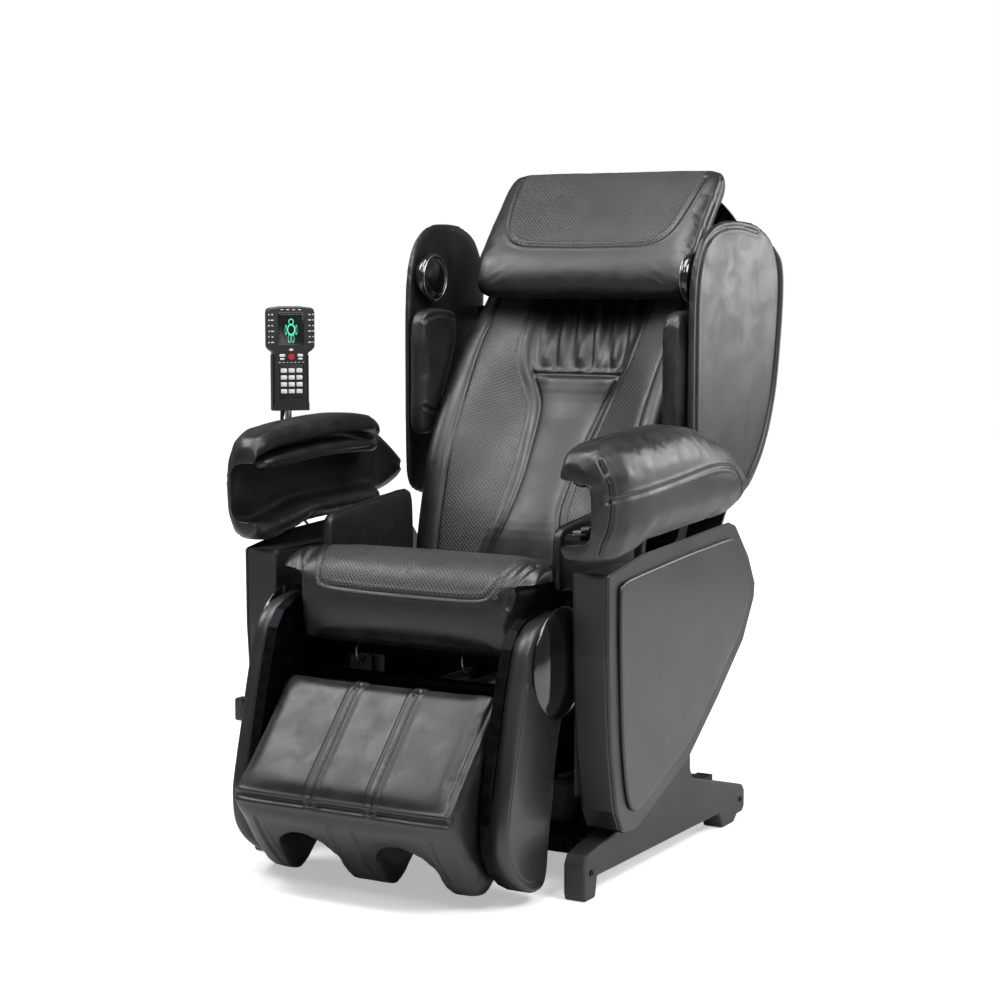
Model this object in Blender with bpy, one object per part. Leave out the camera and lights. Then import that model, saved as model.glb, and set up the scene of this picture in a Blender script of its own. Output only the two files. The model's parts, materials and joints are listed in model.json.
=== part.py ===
"""Massage chair: base, seat, reclining back with massage carriage, flip-over leg rest, armrests, remote."""
import bpy
import bmesh
import math
from mathutils import Vector

for old in list(bpy.data.objects):
    bpy.data.objects.remove(old, do_unlink=True)

# ---------------------------------------------------------------- driving dimensions (metres)
FRAME_X = 0.0187          # shift that puts the middle of the footprint on the origin
FRAME_Y = -0.0345
GAP = 0.0004              # clearance between bolted neighbours

SEAT_HALF = 0.205         # seat cushion between the seat frame arms
BOLSTER_HALF = 0.250      # front roll of the seat, above the leg-rest plates
SEAT_BASE_Z = 0.387
BOLSTER_BASE_Z = 0.507

RECLINE_PIVOT = (0.0, 0.070, 0.420)
LEG_PIVOT = (0.0, -0.268, 0.384)
FLIP_PIVOT = (0.0, -0.385, 0.177)
PILLOW_PIVOT = (0.0, 0.492, 1.168)

COVER_OUT = 0.357         # outer face of the side cover
COVER_WALL = 0.008
COVER_IN = 0.2895         # inner edge of the front band
PANEL_THICK = 0.0055

ARM_OUT = 0.395
ARM_IN = 0.284

PLATE_IN = 0.2165         # leg-rest side plate
PLATE_OUT = 0.2355
LEG_COVER_OUT = 0.2660
OTTOMAN_HALF = 0.210

WING_FRONT_X = 0.303
WING_FLARE = 0.085        # outward lean of the wing per metre of depth
WING_THICK = 0.020

MECH_Y = 0.335            # back mechanism line: point and lean
MECH_Z = 0.770
MECH_LEAN = math.radians(31.0)
CARRIAGE_START = -0.165   # carriage centre along the rails at rest
RAIL_HALF = 0.240

POLE_X = -0.411
POLE_Y = -0.060
REMOTE_YAW = math.radians(45.0)
REMOTE_BASE_Z = 0.766
REMOTE_WIDE = 0.89        # handset drawn at full size, then brought down
REMOTE_TALL = 0.93


# ---------------------------------------------------------------- helpers
def srgb(value):
    """sRGB channel to linear."""
    if value <= 0.04045:
        return value / 12.92
    return ((value + 0.055) / 1.055) ** 2.4


def material(name, code, roughness, metallic=0.0):
    """Principled material from a hex colour."""
    mat = bpy.data.materials.new(name)
    mat.use_nodes = True
    shader = mat.node_tree.nodes["Principled BSDF"]
    rgb = [srgb(int(code[i:i + 2], 16) / 255.0) for i in (0, 2, 4)]
    shader.inputs["Base Color"].default_value = (*rgb, 1.0)
    shader.inputs["Roughness"].default_value = roughness
    shader.inputs["Metallic"].default_value = metallic
    return mat


LEATHER = material("black_leather", "1c1c1e", 0.45)
LEATHER_MID = material("perforated_leather", "232325", 0.50)
SATIN = material("satin_black_plastic", "1a1a1c", 0.42)
GLOSS = material("gloss_black_plastic", "0e0e10", 0.12)
GREY = material("dark_grey_plastic", "2a2b2d", 0.55)
STEEL = material("black_painted_steel", "202124", 0.50, 0.6)
ZINC = material("zinc_steel", "9a9ca0", 0.35, 1.0)
CHROME = material("chrome", "d8d9db", 0.08, 1.0)
RUBBER = material("black_rubber", "151515", 0.85)
KEYS = material("light_grey_keys", "c4c6c8", 0.45)
RED = material("red_key", "b3261e", 0.40)
GLASS = material("screen_glass", "060809", 0.06)


def add_object(name, bm, mat, pivot=(0.0, 0.0, 0.0)):
    """Mesh object whose origin is the pivot; coordinates in bm are world."""
    bmesh.ops.remove_doubles(bm, verts=bm.verts, dist=1e-6)
    bmesh.ops.recalc_face_normals(bm, faces=bm.faces)
    centre = Vector(pivot)
    for vert in bm.verts:
        vert.co -= centre
    mesh = bpy.data.meshes.new(name)
    bm.to_mesh(mesh)
    bm.free()
    mesh.materials.append(mat)
    obj = bpy.data.objects.new(name, mesh)
    obj.location = centre + Vector((FRAME_X, FRAME_Y, 0.0))
    bpy.context.collection.objects.link(obj)
    return obj


def bevel(bm, width, segments=1, angle=30.0):
    """Bevel the edges sharper than the angle."""
    limit = math.radians(angle)
    edges = [e for e in bm.edges if len(e.link_faces) == 2 and e.calc_face_angle(0.0) > limit]
    bmesh.ops.bevel(bm, geom=edges, offset=width, segments=segments, profile=0.5, affect='EDGES',
                    clamp_overlap=True)
    return bm


def loft(rings):
    """Closed solid through rings of equal point count, capped at both ends."""
    bm = bmesh.new()
    rows = [[bm.verts.new(p) for p in ring] for ring in rings]
    count = len(rows[0])
    for low, high in zip(rows, rows[1:]):
        for i in range(count):
            j = (i + 1) % count
            bm.faces.new((low[i], low[j], high[j], high[i]))
    bm.faces.new(rows[0])
    bm.faces.new(rows[-1][::-1])
    bmesh.ops.recalc_face_normals(bm, faces=bm.faces)
    return bm


def box(lo, hi, width=0.0, segments=1):
    """Axis-aligned block with optional bevel."""
    lo, hi = [min(a, b) for a, b in zip(lo, hi)], [max(a, b) for a, b in zip(lo, hi)]
    ring = [(lo[0], lo[1]), (hi[0], lo[1]), (hi[0], hi[1]), (lo[0], hi[1])]
    bm = loft([[(x, y, z) for x, y in ring] for z in (lo[2], hi[2])])
    if width > 0.0:
        bevel(bm, width, segments)
    return bm


def plate_x(outline, x0, x1, width=0.0, segments=1):
    """Outline in (y, z) pushed out along X from x0 to x1."""
    bm = loft([[(x, y, z) for y, z in outline] for x in (x0, x1)])
    if width > 0.0:
        bevel(bm, width, segments)
    return bm


def lathe(profile, centre, along, sides=24):
    """Solid turned about a direction: profile is (distance along, radius)."""
    axis = Vector(along).normalized()
    side = axis.orthogonal().normalized()
    other = axis.cross(side)
    base = Vector(centre)
    rings = []
    for run, radius in profile:
        ring = []
        for k in range(sides):
            turn = 2.0 * math.pi * k / sides
            ring.append(base + axis * run + (side * math.cos(turn) + other * math.sin(turn)) * radius)
        rings.append(ring)
    return loft(rings)


def rod(start, end, radius, sides=16):
    """Plain round bar between two points."""
    run = Vector(end) - Vector(start)
    return lathe([(0.0, radius), (run.length, radius)], start, run, sides)


def boolean(body, tools, operation):
    """Exact boolean of bmeshes, returned as a new bmesh."""
    made = []
    for bm in [body] + tools:
        mesh = bpy.data.meshes.new("work")
        bmesh.ops.recalc_face_normals(bm, faces=bm.faces)
        bm.to_mesh(mesh)
        bm.free()
        obj = bpy.data.objects.new("work", mesh)
        bpy.context.collection.objects.link(obj)
        made.append(obj)
    for tool in made[1:]:
        mod = made[0].modifiers.new("join", 'BOOLEAN')
        mod.object = tool
        mod.operation = operation
        mod.solver = 'EXACT'
    graph = bpy.context.evaluated_depsgraph_get()
    graph.update()
    result = bmesh.new()
    result.from_mesh(made[0].evaluated_get(graph).to_mesh())
    for obj in made:
        bpy.data.objects.remove(obj, do_unlink=True)
    bmesh.ops.remove_doubles(result, verts=result.verts, dist=1e-5)
    bmesh.ops.dissolve_degenerate(result, edges=result.edges, dist=1e-6)
    return result


def unite(*parts):
    return boolean(parts[0], list(parts[1:]), 'UNION')


def cut(body, *tools):
    return boolean(body, list(tools), 'DIFFERENCE')


def cushion(outline, stations, centre):
    """Soft solid: (y, z) outline lofted along X; stations are (x, scale about centre)."""
    rings = []
    for x, scale in stations:
        rings.append([(x, centre[0] + (y - centre[0]) * scale, centre[1] + (z - centre[1]) * scale)
                      for y, z in outline])
    return loft(rings)


def blend(points, value):
    """Straight-line value between (key, value) pairs."""
    if value <= points[0][0]:
        return points[0][1]
    for (a, va), (b, vb) in zip(points, points[1:]):
        if value <= b:
            return va + (vb - va) * (value - a) / (b - a)
    return points[-1][1]


def arc(centre, radius, start, end, steps):
    """Points in (y, z) on a circle, angles in degrees."""
    return [(centre[0] + radius * math.cos(math.radians(start + (end - start) * k / steps)),
             centre[1] + radius * math.sin(math.radians(start + (end - start) * k / steps)))
            for k in range(steps + 1)]


def mech(x, along, depth):
    """World point from the back mechanism frame: across, up the rails, away from the sitter."""
    y = MECH_Y + math.sin(MECH_LEAN) * along + math.cos(MECH_LEAN) * depth
    z = MECH_Z + math.cos(MECH_LEAN) * along - math.sin(MECH_LEAN) * depth
    return (x, y, z)


def mech_box(x0, x1, a0, a1, d0, d1, width=0.0):
    """Block square to the back mechanism frame."""
    ring = [(x0, a0), (x1, a0), (x1, a1), (x0, a1)]
    bm = loft([[mech(x, a, d) for x, a in ring] for d in (d0, d1)])
    if width > 0.0:
        bevel(bm, width)
    return bm


# ---------------------------------------------------------------- base
def base_frame():
    parts = []
    for side in (-1, 1):
        parts.append(box((side * 0.235, -0.185, 0.045), (side * 0.265, 0.345, 0.075)))
        parts.append(plate_x([(0.020, 0.060), (0.190, 0.060), (0.100, 0.435), (0.080, 0.450), (0.050, 0.450),
                              (0.036, 0.435)], side * 0.245, side * 0.262))
        parts.append(box((side * 0.245, -0.155, 0.060), (side * 0.262, -0.110, 0.345)))
    first = box((-0.250, -0.190, 0.046), (0.250, -0.160, 0.074))
    parts.append(box((-0.250, 0.305, 0.046), (0.250, 0.335, 0.074)))
    parts.append(box((-0.250, -0.175, 0.0675), (0.250, 0.185, 0.0735)))
    parts.append(box((-0.032, 0.090, 0.070), (-0.024, 0.150, 0.135)))
    parts.append(box((0.024, 0.090, 0.070), (0.032, 0.150, 0.135)))
    parts.append(box((-0.2470, 0.0760, 0.069), (0.2470, 0.0790, 0.336)))
    return add_object("base_frame", unite(first, *parts), STEEL)


def base_cover(side, name):
    outline = [(-0.294, 0.0), (-0.257, 0.0), (-0.250, 0.034), (0.236, 0.030), (0.252, 0.0), (0.304, 0.0),
               (0.318, 0.012), (0.344, 0.012), (0.352, 0.022), (0.352, 0.052), (0.342, 0.064), (0.120, 0.122),
               (0.110, 0.140), (0.106, 0.300), (0.046, 0.300), (0.030, 0.145), (-0.040, 0.112), (-0.250, 0.084),
               (-0.288, 0.076), (-0.298, 0.060), (-0.298, 0.012)]
    bm = plate_x(outline, side * 0.289, side * 0.328, 0.004, 2)
    return add_object(name, bm, GREY)


def wheel(side, name):
    centre = (side * 0.2665, 0.322, 0.034)
    profile = [(0.0, 0.024), (0.003, 0.030), (0.017, 0.030), (0.020, 0.024)]
    return add_object(name, lathe(profile, centre, (side, 0, 0), 28), RUBBER, centre)


def side_cover_outline():
    return [(-0.274, 0.533), (-0.273, 0.400), (-0.262, 0.250), (-0.240, 0.140), (-0.218, 0.103), (-0.165, 0.096),
            (0.036, 0.174), (0.160, 0.262), (0.270, 0.349), (0.318, 0.420), (0.322, 0.448), (0.290, 0.502),
            (0.232, 0.562), (0.205, 0.570), (0.000, 0.560), (-0.150, 0.553)]


def side_cover(side, name):
    outline = side_cover_outline()
    wall = plate_x(outline, side * (COVER_OUT - COVER_WALL), side * COVER_OUT, 0.003)
    band_line = [(-0.274, 0.533), (-0.273, 0.400), (-0.262, 0.250), (-0.240, 0.140), (-0.218, 0.103),
                 (-0.200, 0.112), (-0.222, 0.150), (-0.243, 0.255), (-0.254, 0.400), (-0.256, 0.533)]
    band = plate_x(band_line, side * COVER_IN, side * (COVER_OUT - 0.003), 0.006, 2)
    skirt_line = [(-0.210, 0.1000), (-0.165, 0.0965), (0.036, 0.1745), (0.160, 0.2625), (0.200, 0.2940),
                  (0.195, 0.300), (0.154, 0.269), (0.032, 0.182), (-0.166, 0.1045), (-0.208, 0.108)]
    skirt = plate_x(skirt_line, side * (COVER_OUT - 0.018), side * (COVER_OUT - 0.003))
    shelf = box((side * 0.300, -0.262, 0.524), (side * 0.353, -0.020, 0.532))
    inner = box((side * (COVER_IN + 0.0006), -0.262, 0.165), (side * (COVER_IN + 0.0036), 0.030, 0.529))
    return add_object(name, unite(wall, band, skirt, shelf, inner), SATIN)


def side_panel(side, name):
    outline = [(-0.240, 0.500), (-0.238, 0.400), (-0.229, 0.260), (-0.210, 0.163), (-0.188, 0.133),
               (-0.155, 0.134), (0.022, 0.204), (0.142, 0.290), (0.244, 0.372), (0.284, 0.432), (0.284, 0.448),
               (0.262, 0.490), (0.214, 0.536), (0.192, 0.543), (0.000, 0.534), (-0.210, 0.520)]
    inner = side * (COVER_OUT + GAP)
    bm = plate_x(outline, inner, inner + side * PANEL_THICK, 0.002)
    return add_object(name, bm, SATIN)


def power_module():
    body = box((0.090, 0.3355, 0.046), (0.170, 0.3700, 0.094), 0.003)
    socket = box((0.098, 0.3580, 0.058), (0.126, 0.3800, 0.082))
    window = box((0.1378, 0.3555, 0.057), (0.1622, 0.3800, 0.083))
    return add_object("power_inlet", cut(body, socket, window), GREY)


def power_switch():
    centre = (0.150, 0.3655, 0.070)
    outline = [(0.3586, 0.0605), (0.3730, 0.0600), (0.3700, 0.0700), (0.3750, 0.0795), (0.3586, 0.0795)]
    return add_object("power_switch", plate_x(outline, 0.1390, 0.1610), RED, centre)


def air_pump():
    body = box((-0.205, -0.125, 0.0740), (-0.055, 0.035, 0.168), 0.010, 2)
    can = rod((-0.205, -0.045, 0.172), (-0.055, -0.045, 0.172), 0.040, 20)
    spout = rod((-0.130, -0.135, 0.120), (-0.130, -0.110, 0.120), 0.006, 12)
    return add_object("air_pump", unite(body, can, spout), GREY)


def control_box():
    body = box((0.060, -0.125, 0.0740), (0.205, 0.055, 0.150), 0.006)
    fins = [box((0.075 + 0.026 * k, -0.110, 0.145), (0.085 + 0.026 * k, 0.040, 0.158)) for k in range(5)]
    return add_object("control_box", unite(body, *fins), GREY)


# ---------------------------------------------------------------- seat
def seat_frame():
    parts = []
    for side in (-1, 1):
        outline = arc((LEG_PIVOT[1], LEG_PIVOT[2]), 0.024, 90, 270, 8) + [(-0.250, 0.340), (0.030, 0.340),
                                                                         (0.030, 0.380), (-0.250, 0.380)]
        parts.append(plate_x(outline, side * 0.2066, side * 0.2136))
        parts.append(lathe([(0.0, 0.015), (0.0040, 0.015)], (side * 0.2120, LEG_PIVOT[1], LEG_PIVOT[2]),
                           (side, 0, 0), 16))
    first = box((-0.2446, -0.150, 0.342), (0.2446, -0.115, 0.372))
    parts.append(box((-0.2446, -0.010, 0.342), (0.2446, 0.022, 0.372)))
    parts.append(box((-0.2080, -0.205, 0.378), (0.2080, 0.028, 0.3865)))
    parts.append(box((-0.2080, -0.205, 0.362), (0.2080, -0.195, 0.380)))
    parts.append(box((-0.2080, -0.200, 0.364), (0.2080, 0.020, 0.380)))
    return add_object("seat_frame", unite(first, *parts), STEEL)


def seat_cushion():
    profile = [(-0.295, 0.3870), (-0.318, 0.397), (-0.329, 0.420), (-0.331, 0.450), (-0.330, 0.486), (-0.322, 0.514),
               (-0.302, 0.535), (-0.267, 0.546), (-0.200, 0.541), (-0.100, 0.521), (0.000, 0.503), (0.045, 0.498),
               (0.056, 0.486), (0.056, 0.400), (0.045, 0.3870)]
    profile = [(y, max(z, SEAT_BASE_Z)) for y, z in profile]
    body = cushion(profile, [(-SEAT_HALF, 0.985), (-0.195, 1.0), (0.195, 1.0), (SEAT_HALF, 0.985)],
                   (-0.130, SEAT_BASE_Z))
    roll = [(-0.320, BOLSTER_BASE_Z), (-0.324, 0.513), (-0.314, 0.525), (-0.296, 0.536), (-0.267, 0.545),
            (-0.240, 0.543), (-0.227, 0.530), (-0.226, BOLSTER_BASE_Z)]
    bolster = cushion(roll, [(-BOLSTER_HALF, 0.50), (-0.243, 0.74), (-0.226, 0.94), (-0.205, 1.0), (0.205, 1.0),
                             (0.226, 0.94), (0.243, 0.74), (BOLSTER_HALF, 0.50)], (-0.305, BOLSTER_BASE_Z))
    return add_object("seat_cushion", unite(body, bolster), LEATHER)


def hip_wing(side, name):
    outline = [(-0.214, 0.484), (-0.217, 0.570), (-0.208, 0.590), (-0.190, 0.599), (-0.060, 0.612), (0.045, 0.620),
               (0.064, 0.612), (0.070, 0.590), (0.070, 0.482), (0.030, 0.452), (0.028, 0.390), (-0.165, 0.390),
               (-0.180, 0.484)]
    bm = plate_x(outline, side * 0.2142, side * 0.2420, 0.007, 2)
    return add_object(name, bm, LEATHER)


# ---------------------------------------------------------------- leg rest
def leg_outline(radius, grow):
    """Side plate outline: rounded head over the leg pivot, front edge moved by grow, rounded foot."""
    head = arc((LEG_PIVOT[1], LEG_PIVOT[2]), radius, -38, 95, 11)
    front = [(-0.320, 0.456), (-0.350, 0.442), (-0.372, 0.418), (-0.388, 0.374), (-0.405, 0.315), (-0.420, 0.254),
             (-0.433, 0.205), (-0.445, 0.149), (-0.441, 0.100), (-0.422, 0.067), (-0.387, 0.038), (-0.355, 0.022),
             (-0.320, 0.024), (-0.306, 0.048), (-0.300, 0.090), (-0.288, 0.150), (-0.274, 0.230), (-0.250, 0.300)]
    shift = [(y - grow if y < -0.31 and z > 0.2 else y, z + (grow if z > 0.43 else 0.0)) for y, z in front]
    return head + shift


def leg_frame():
    parts = []
    for side in (-1, 1):
        parts.append(plate_x(leg_outline(0.084, 0.004), side * PLATE_IN, side * PLATE_OUT, 0.0015))
        parts.append(lathe([(0.0, 0.020), (0.0056, 0.020)], (side * (PLATE_IN + 0.001), FLIP_PIVOT[1], FLIP_PIVOT[2]),
                           (-side, 0, 0), 20))
    bar = rod((-0.2200, -0.243, 0.320), (0.2200, -0.243, 0.320), 0.012, 16)
    return add_object("leg_frame", unite(bar, *parts), STEEL, LEG_PIVOT)


def leg_cover(side, name):
    bm = plate_x(leg_outline(0.080, 0.0), side * (PLATE_OUT + GAP), side * LEG_COVER_OUT, 0.006, 2)
    return add_object(name, bm, SATIN, LEG_PIVOT)


def pivot_cap(side, name):
    profile = [(0.0, 0.092), (0.0040, 0.091), (0.0095, 0.083), (0.0145, 0.065), (0.0180, 0.040), (0.0192, 0.012)]
    bm = lathe(profile, (side * (LEG_COVER_OUT + GAP), LEG_PIVOT[1], LEG_PIVOT[2]), (side, 0, 0), 36)
    return add_object(name, bm, GLOSS, (side * LEG_COVER_OUT, LEG_PIVOT[1], LEG_PIVOT[2]))


def latch_lever():
    centre = (-0.2664, -0.392, 0.276)
    grip = box((-0.2880, -0.4030, 0.2560), (-0.2700, -0.3810, 0.2955), 0.004, 2)
    stem = rod((-0.2664, -0.392, 0.276), (-0.2760, -0.392, 0.276), 0.0085, 16)
    return add_object("latch_lever", unite(grip, stem), SATIN, centre)


def ottoman_pad():
    outline = [(-0.352, 0.340), (-0.366, 0.343), (-0.378, 0.334), (-0.450, 0.257), (-0.520, 0.183), (-0.529, 0.168),
               (-0.528, 0.146), (-0.514, 0.124), (-0.478, 0.072), (-0.436, 0.026), (-0.412, 0.013), (-0.388, 0.014),
               (-0.352, 0.042), (-0.280, 0.112), (-0.234, 0.162), (-0.221, 0.190), (-0.232, 0.220), (-0.270, 0.262)]
    body = cushion(outline, [(-OTTOMAN_HALF, 0.95), (-0.203, 0.99), (-0.185, 1.0), (0.185, 1.0), (0.203, 0.99),
                             (OTTOMAN_HALF, 0.95)], (FLIP_PIVOT[1], FLIP_PIVOT[2]))
    slope = Vector((0.0, -0.686, -0.728))
    inward = Vector((0.0, 0.728, -0.686))
    middle = Vector((0.0, -0.445, 0.259))
    tools = []
    for across in (-0.0950, 0.0950):
        rings = []
        for run in (-0.30, 0.30):
            start = middle + slope * run + Vector((across, 0.0, 0.0))
            ring = [start + Vector((0.054, 0, 0)) + inward * 0.260]
            for k in range(9):
                turn = math.pi * k / 8
                ring.append(start + Vector((0.050 * math.cos(turn), 0, 0)) +
                            inward * (0.122 - 0.050 * math.sin(turn)))
            ring.append(start + Vector((-0.054, 0, 0)) + inward * 0.260)
            rings.append(ring)
        tools.append(loft(rings))
    return add_object("ottoman_pad", cut(body, *tools), LEATHER, FLIP_PIVOT)


def leg_motor():
    tube = rod((0.0, -0.130, 0.280), (0.0, 0.030, 0.280), 0.020, 20)
    gearbox = box((-0.088, 0.012, 0.250), (0.026, 0.064, 0.308), 0.006)
    motor = rod((-0.058, 0.030, 0.280), (-0.058, -0.085, 0.280), 0.024, 20)
    hanger = box((-0.018, 0.016, 0.290), (0.018, 0.034, 0.3416))
    bore = rod((0.0, -0.1320, 0.280), (0.0, -0.0080, 0.280), 0.0096, 24)
    return add_object("leg_motor", cut(unite(gearbox, tube, motor, hanger), bore), GREY)


def leg_rod():
    bar = rod((0.0, -0.0150, 0.280), (0.0, -0.228, 0.280), 0.009, 16)
    return add_object("leg_rod", bar, ZINC, (0.0, -0.131, 0.280))


# ---------------------------------------------------------------- back
def strip_y(z):
    """Front of the side strips of the back pad."""
    return blend([(0.450, 0.076), (0.550, 0.095), (0.680, 0.129), (0.770, 0.181), (0.880, 0.267), (0.960, 0.360),
                  (1.050, 0.425), (1.150, 0.487)], z)


def channel_y(z):
    """Front of the middle channel of the back pad."""
    return blend([(0.450, 0.078), (0.560, 0.112), (0.690, 0.220), (0.770, 0.286), (0.865, 0.313), (0.960, 0.378),
                  (1.050, 0.436), (1.150, 0.490)], z)


def back_pad():
    levels = [0.462, 0.500, 0.550, 0.600, 0.650, 0.700, 0.745, 0.790, 0.840, 0.890, 0.950, 1.010, 1.060, 1.105]
    across = [-0.236, -0.215, -0.180, -0.140, -0.100, -0.060, 0.0, 0.060, 0.100, 0.140, 0.180, 0.215, 0.236]
    rings = []
    for z in levels:
        front = []
        rear = []
        for x in across:
            part = min(max((abs(x) - 0.055) / 0.165, 0.0), 1.0)
            y = channel_y(z) + (strip_y(z) - channel_y(z)) * part
            edge = 0.012 if abs(x) > 0.22 else 0.0
            front.append((x, y + edge, z))
            rear.append((x, y + 0.026, z))
        rings.append(front + rear[::-1])
    return add_object("back_pad", loft(rings), LEATHER, RECLINE_PIVOT)


def back_frame():
    parts = []
    for side in (-1, 1):
        spine = [(0.070, 0.420), (0.255, 0.520), (0.375, 0.720), (0.518, 0.945), (0.530, 1.035)]
        left = []
        right = []
        for k, (y, z) in enumerate(spine):
            y0, z0 = spine[max(k - 1, 0)]
            y1, z1 = spine[min(k + 1, len(spine) - 1)]
            run = math.hypot(y1 - y0, z1 - z0)
            ny, nz = -(z1 - z0) / run, (y1 - y0) / run
            left.append((y + ny * 0.016, z + nz * 0.016))
            right.append((y - ny * 0.016, z - nz * 0.016))
        parts.append(plate_x(left + right[::-1], side * 0.2165, side * 0.2355))
        parts.append(lathe([(0.0, 0.026), (0.0190, 0.026)], (side * 0.2165, 0.070, 0.420), (side, 0, 0), 20))
        parts.append(lathe([(0.0, 0.013), (0.0093, 0.013)], (side * 0.2350, 0.070, 0.420), (side, 0, 0), 16))
        parts.append(box((side * 0.230, 0.365, 0.715), (side * 0.2999, 0.395, 0.745)))
        parts.append(box((side * 0.230, 0.455, 0.915), (side * 0.3076, 0.510, 0.945)))
        parts.append(rod(mech(side * 0.100, -RAIL_HALF - 0.022, 0.070), mech(side * 0.100, RAIL_HALF + 0.010, 0.070),
                         0.007, 12))
    first = rod((-0.225, 0.200, 0.490), (0.225, 0.200, 0.490), 0.011, 16)
    for along in (-RAIL_HALF - 0.026, RAIL_HALF + 0.014):
        centre = mech(0.0, along, 0.070)
        parts.append(box((-0.2200, centre[1] - 0.012, centre[2] - 0.012), (0.2200, centre[1] + 0.012,
                                                                        centre[2] + 0.012)))
    parts.append(rod((-0.225, 0.528, 1.022), (0.225, 0.528, 1.022), 0.011, 16))
    parts.append(box((-0.030, 0.520, 1.020), (0.030, 0.534, 1.120)))
    return add_object("back_frame", unite(first, *parts), STEEL, RECLINE_PIVOT)


def back_shell():
    line = [(0.282, 0.440), (0.365, 0.478), (0.455, 0.580), (0.535, 0.715), (0.580, 0.850), (0.598, 0.980),
            (0.594, 1.070), (0.577, 1.125), (0.552, 1.148)]
    inner = []
    for k, (y, z) in enumerate(line):
        y0, z0 = line[max(k - 1, 0)]
        y1, z1 = line[min(k + 1, len(line) - 1)]
        run = math.hypot(y1 - y0, z1 - z0)
        inner.append((y - (z1 - z0) / run * 0.006, z + (y1 - y0) / run * 0.006))
    outline = line + inner[::-1]
    rings = []
    for x in (-0.268, -0.262, -0.245, -0.215, -0.150, 0.0, 0.150, 0.215, 0.245, 0.262, 0.268):
        wrap = -0.055 * (abs(x) / 0.268) ** 8
        rings.append([(x * blend([(1.00, 1.0), (1.07, 0.92), (1.15, 0.74)], z), y + wrap, z) for y, z in outline])
    return add_object("back_shell", loft(rings), SATIN, RECLINE_PIVOT)


def wing_outline():
    return [(0.170, 0.606), (0.160, 0.640), (0.158, 0.800), (0.160, 0.960), (0.172, 1.030), (0.205, 1.080),
            (0.260, 1.106), (0.330, 1.112), (0.405, 1.104), (0.460, 1.080), (0.492, 1.040), (0.500, 0.990),
            (0.490, 0.880), (0.468, 0.774), (0.430, 0.690), (0.382, 0.628), (0.330, 0.592), (0.270, 0.580),
            (0.205, 0.586)]


def wing(side, name):
    rings = []
    for level, inset in ((0.0, 0.006), (0.004, 0.0), (WING_THICK - 0.006, 0.0), (WING_THICK, 0.009)):
        ring = []
        for y, z in wing_outline():
            cy, cz = 0.330, 0.850
            run = math.hypot(y - cy, z - cz)
            y2, z2 = y - (y - cy) / run * inset, z - (z - cz) / run * inset
            x = WING_FRONT_X - WING_THICK + WING_FLARE * (y2 - 0.160) + level
            ring.append((side * x, y2, z2))
        rings.append(ring)
    return add_object(name, loft(rings), LEATHER, RECLINE_PIVOT)


def shoulder_pad(side, name):
    outline = [(0.150, 0.705), (0.142, 0.730), (0.142, 0.900), (0.152, 0.935), (0.180, 0.948), (0.262, 0.944),
               (0.276, 0.930), (0.270, 0.870), (0.238, 0.800), (0.206, 0.740), (0.184, 0.706)]
    bm = plate_x(outline, side * 0.2425, side * 0.2812, 0.008, 2)
    return add_object(name, bm, LEATHER, RECLINE_PIVOT)


def speaker(side, name):
    centre = (side * 0.2815, 0.222, 1.002)
    bm = lathe([(0.0, 0.046), (0.012, 0.046), (0.020, 0.040), (0.022, 0.020)], centre, (-side, 0, 0), 28)
    return add_object(name, bm, GLOSS, RECLINE_PIVOT)


def head_pillow():
    outline = [(0.318, 0.962), (0.296, 0.972), (0.286, 0.992), (0.300, 1.030), (0.350, 1.095), (0.405, 1.155),
               (0.436, 1.188), (0.458, 1.203), (0.480, 1.204), (0.492, 1.190), (0.484, 1.165), (0.452, 1.128),
               (0.400, 1.060), (0.362, 0.998), (0.342, 0.968)]
    stations = []
    for x in (-0.222, -0.212, -0.190, -0.135, 0.0, 0.135, 0.190, 0.212, 0.222):
        stations.append((x, blend([(0.0, 1.0), (0.135, 1.0), (0.190, 0.97), (0.212, 0.90), (0.222, 0.78)], abs(x))))
    bm = cushion(outline, stations, (0.415, 1.110))
    return add_object("head_pillow", bm, LEATHER_MID, PILLOW_PIVOT)


def carriage():
    s = CARRIAGE_START
    plate = mech_box(-0.135, 0.135, s - 0.070, s + 0.070, 0.0780, 0.0980, 0.003)
    motor = mech_box(-0.070, 0.070, s - 0.045, s + 0.045, 0.0960, 0.1320, 0.006)
    lugs = [mech_box(side * 0.0625, side * 0.0705, s - 0.012, s + 0.012, 0.040, 0.080) for side in (-1, 1)]
    return add_object("massage_carriage", unite(plate, motor, *lugs), STEEL, mech(0.0, s, 0.070))


def lead_screw():
    bm = rod(mech(0.0, -RAIL_HALF - 0.004, 0.060), mech(0.0, RAIL_HALF - 0.006, 0.060), 0.006, 12)
    return add_object("lead_screw", bm, ZINC, mech(0.0, 0.0, 0.060))


def roller_arm(side, name):
    s = CARRIAGE_START
    line = [(-0.066, 0.036), (-0.030, 0.045), (0.0, 0.046), (0.030, 0.045), (0.066, 0.036), (0.066, 0.050),
            (0.030, 0.062), (0.0, 0.066), (-0.030, 0.062), (-0.066, 0.050)]
    bm = loft([[mech(side * x, s + a, d) for a, d in line] for x in (0.0495, 0.0615)])
    return add_object(name, bm, GREY, mech(side * 0.0555, s, 0.055))


def roller(side, along, name):
    centre = mech(side * 0.0480, CARRIAGE_START + along, 0.043)
    profile = [(0.0, 0.014), (0.004, 0.024), (0.010, 0.028), (0.018, 0.028), (0.024, 0.022), (0.026, 0.014)]
    return add_object(name, lathe(profile, centre, (-side, 0, 0), 22), GREY, centre)


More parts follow.
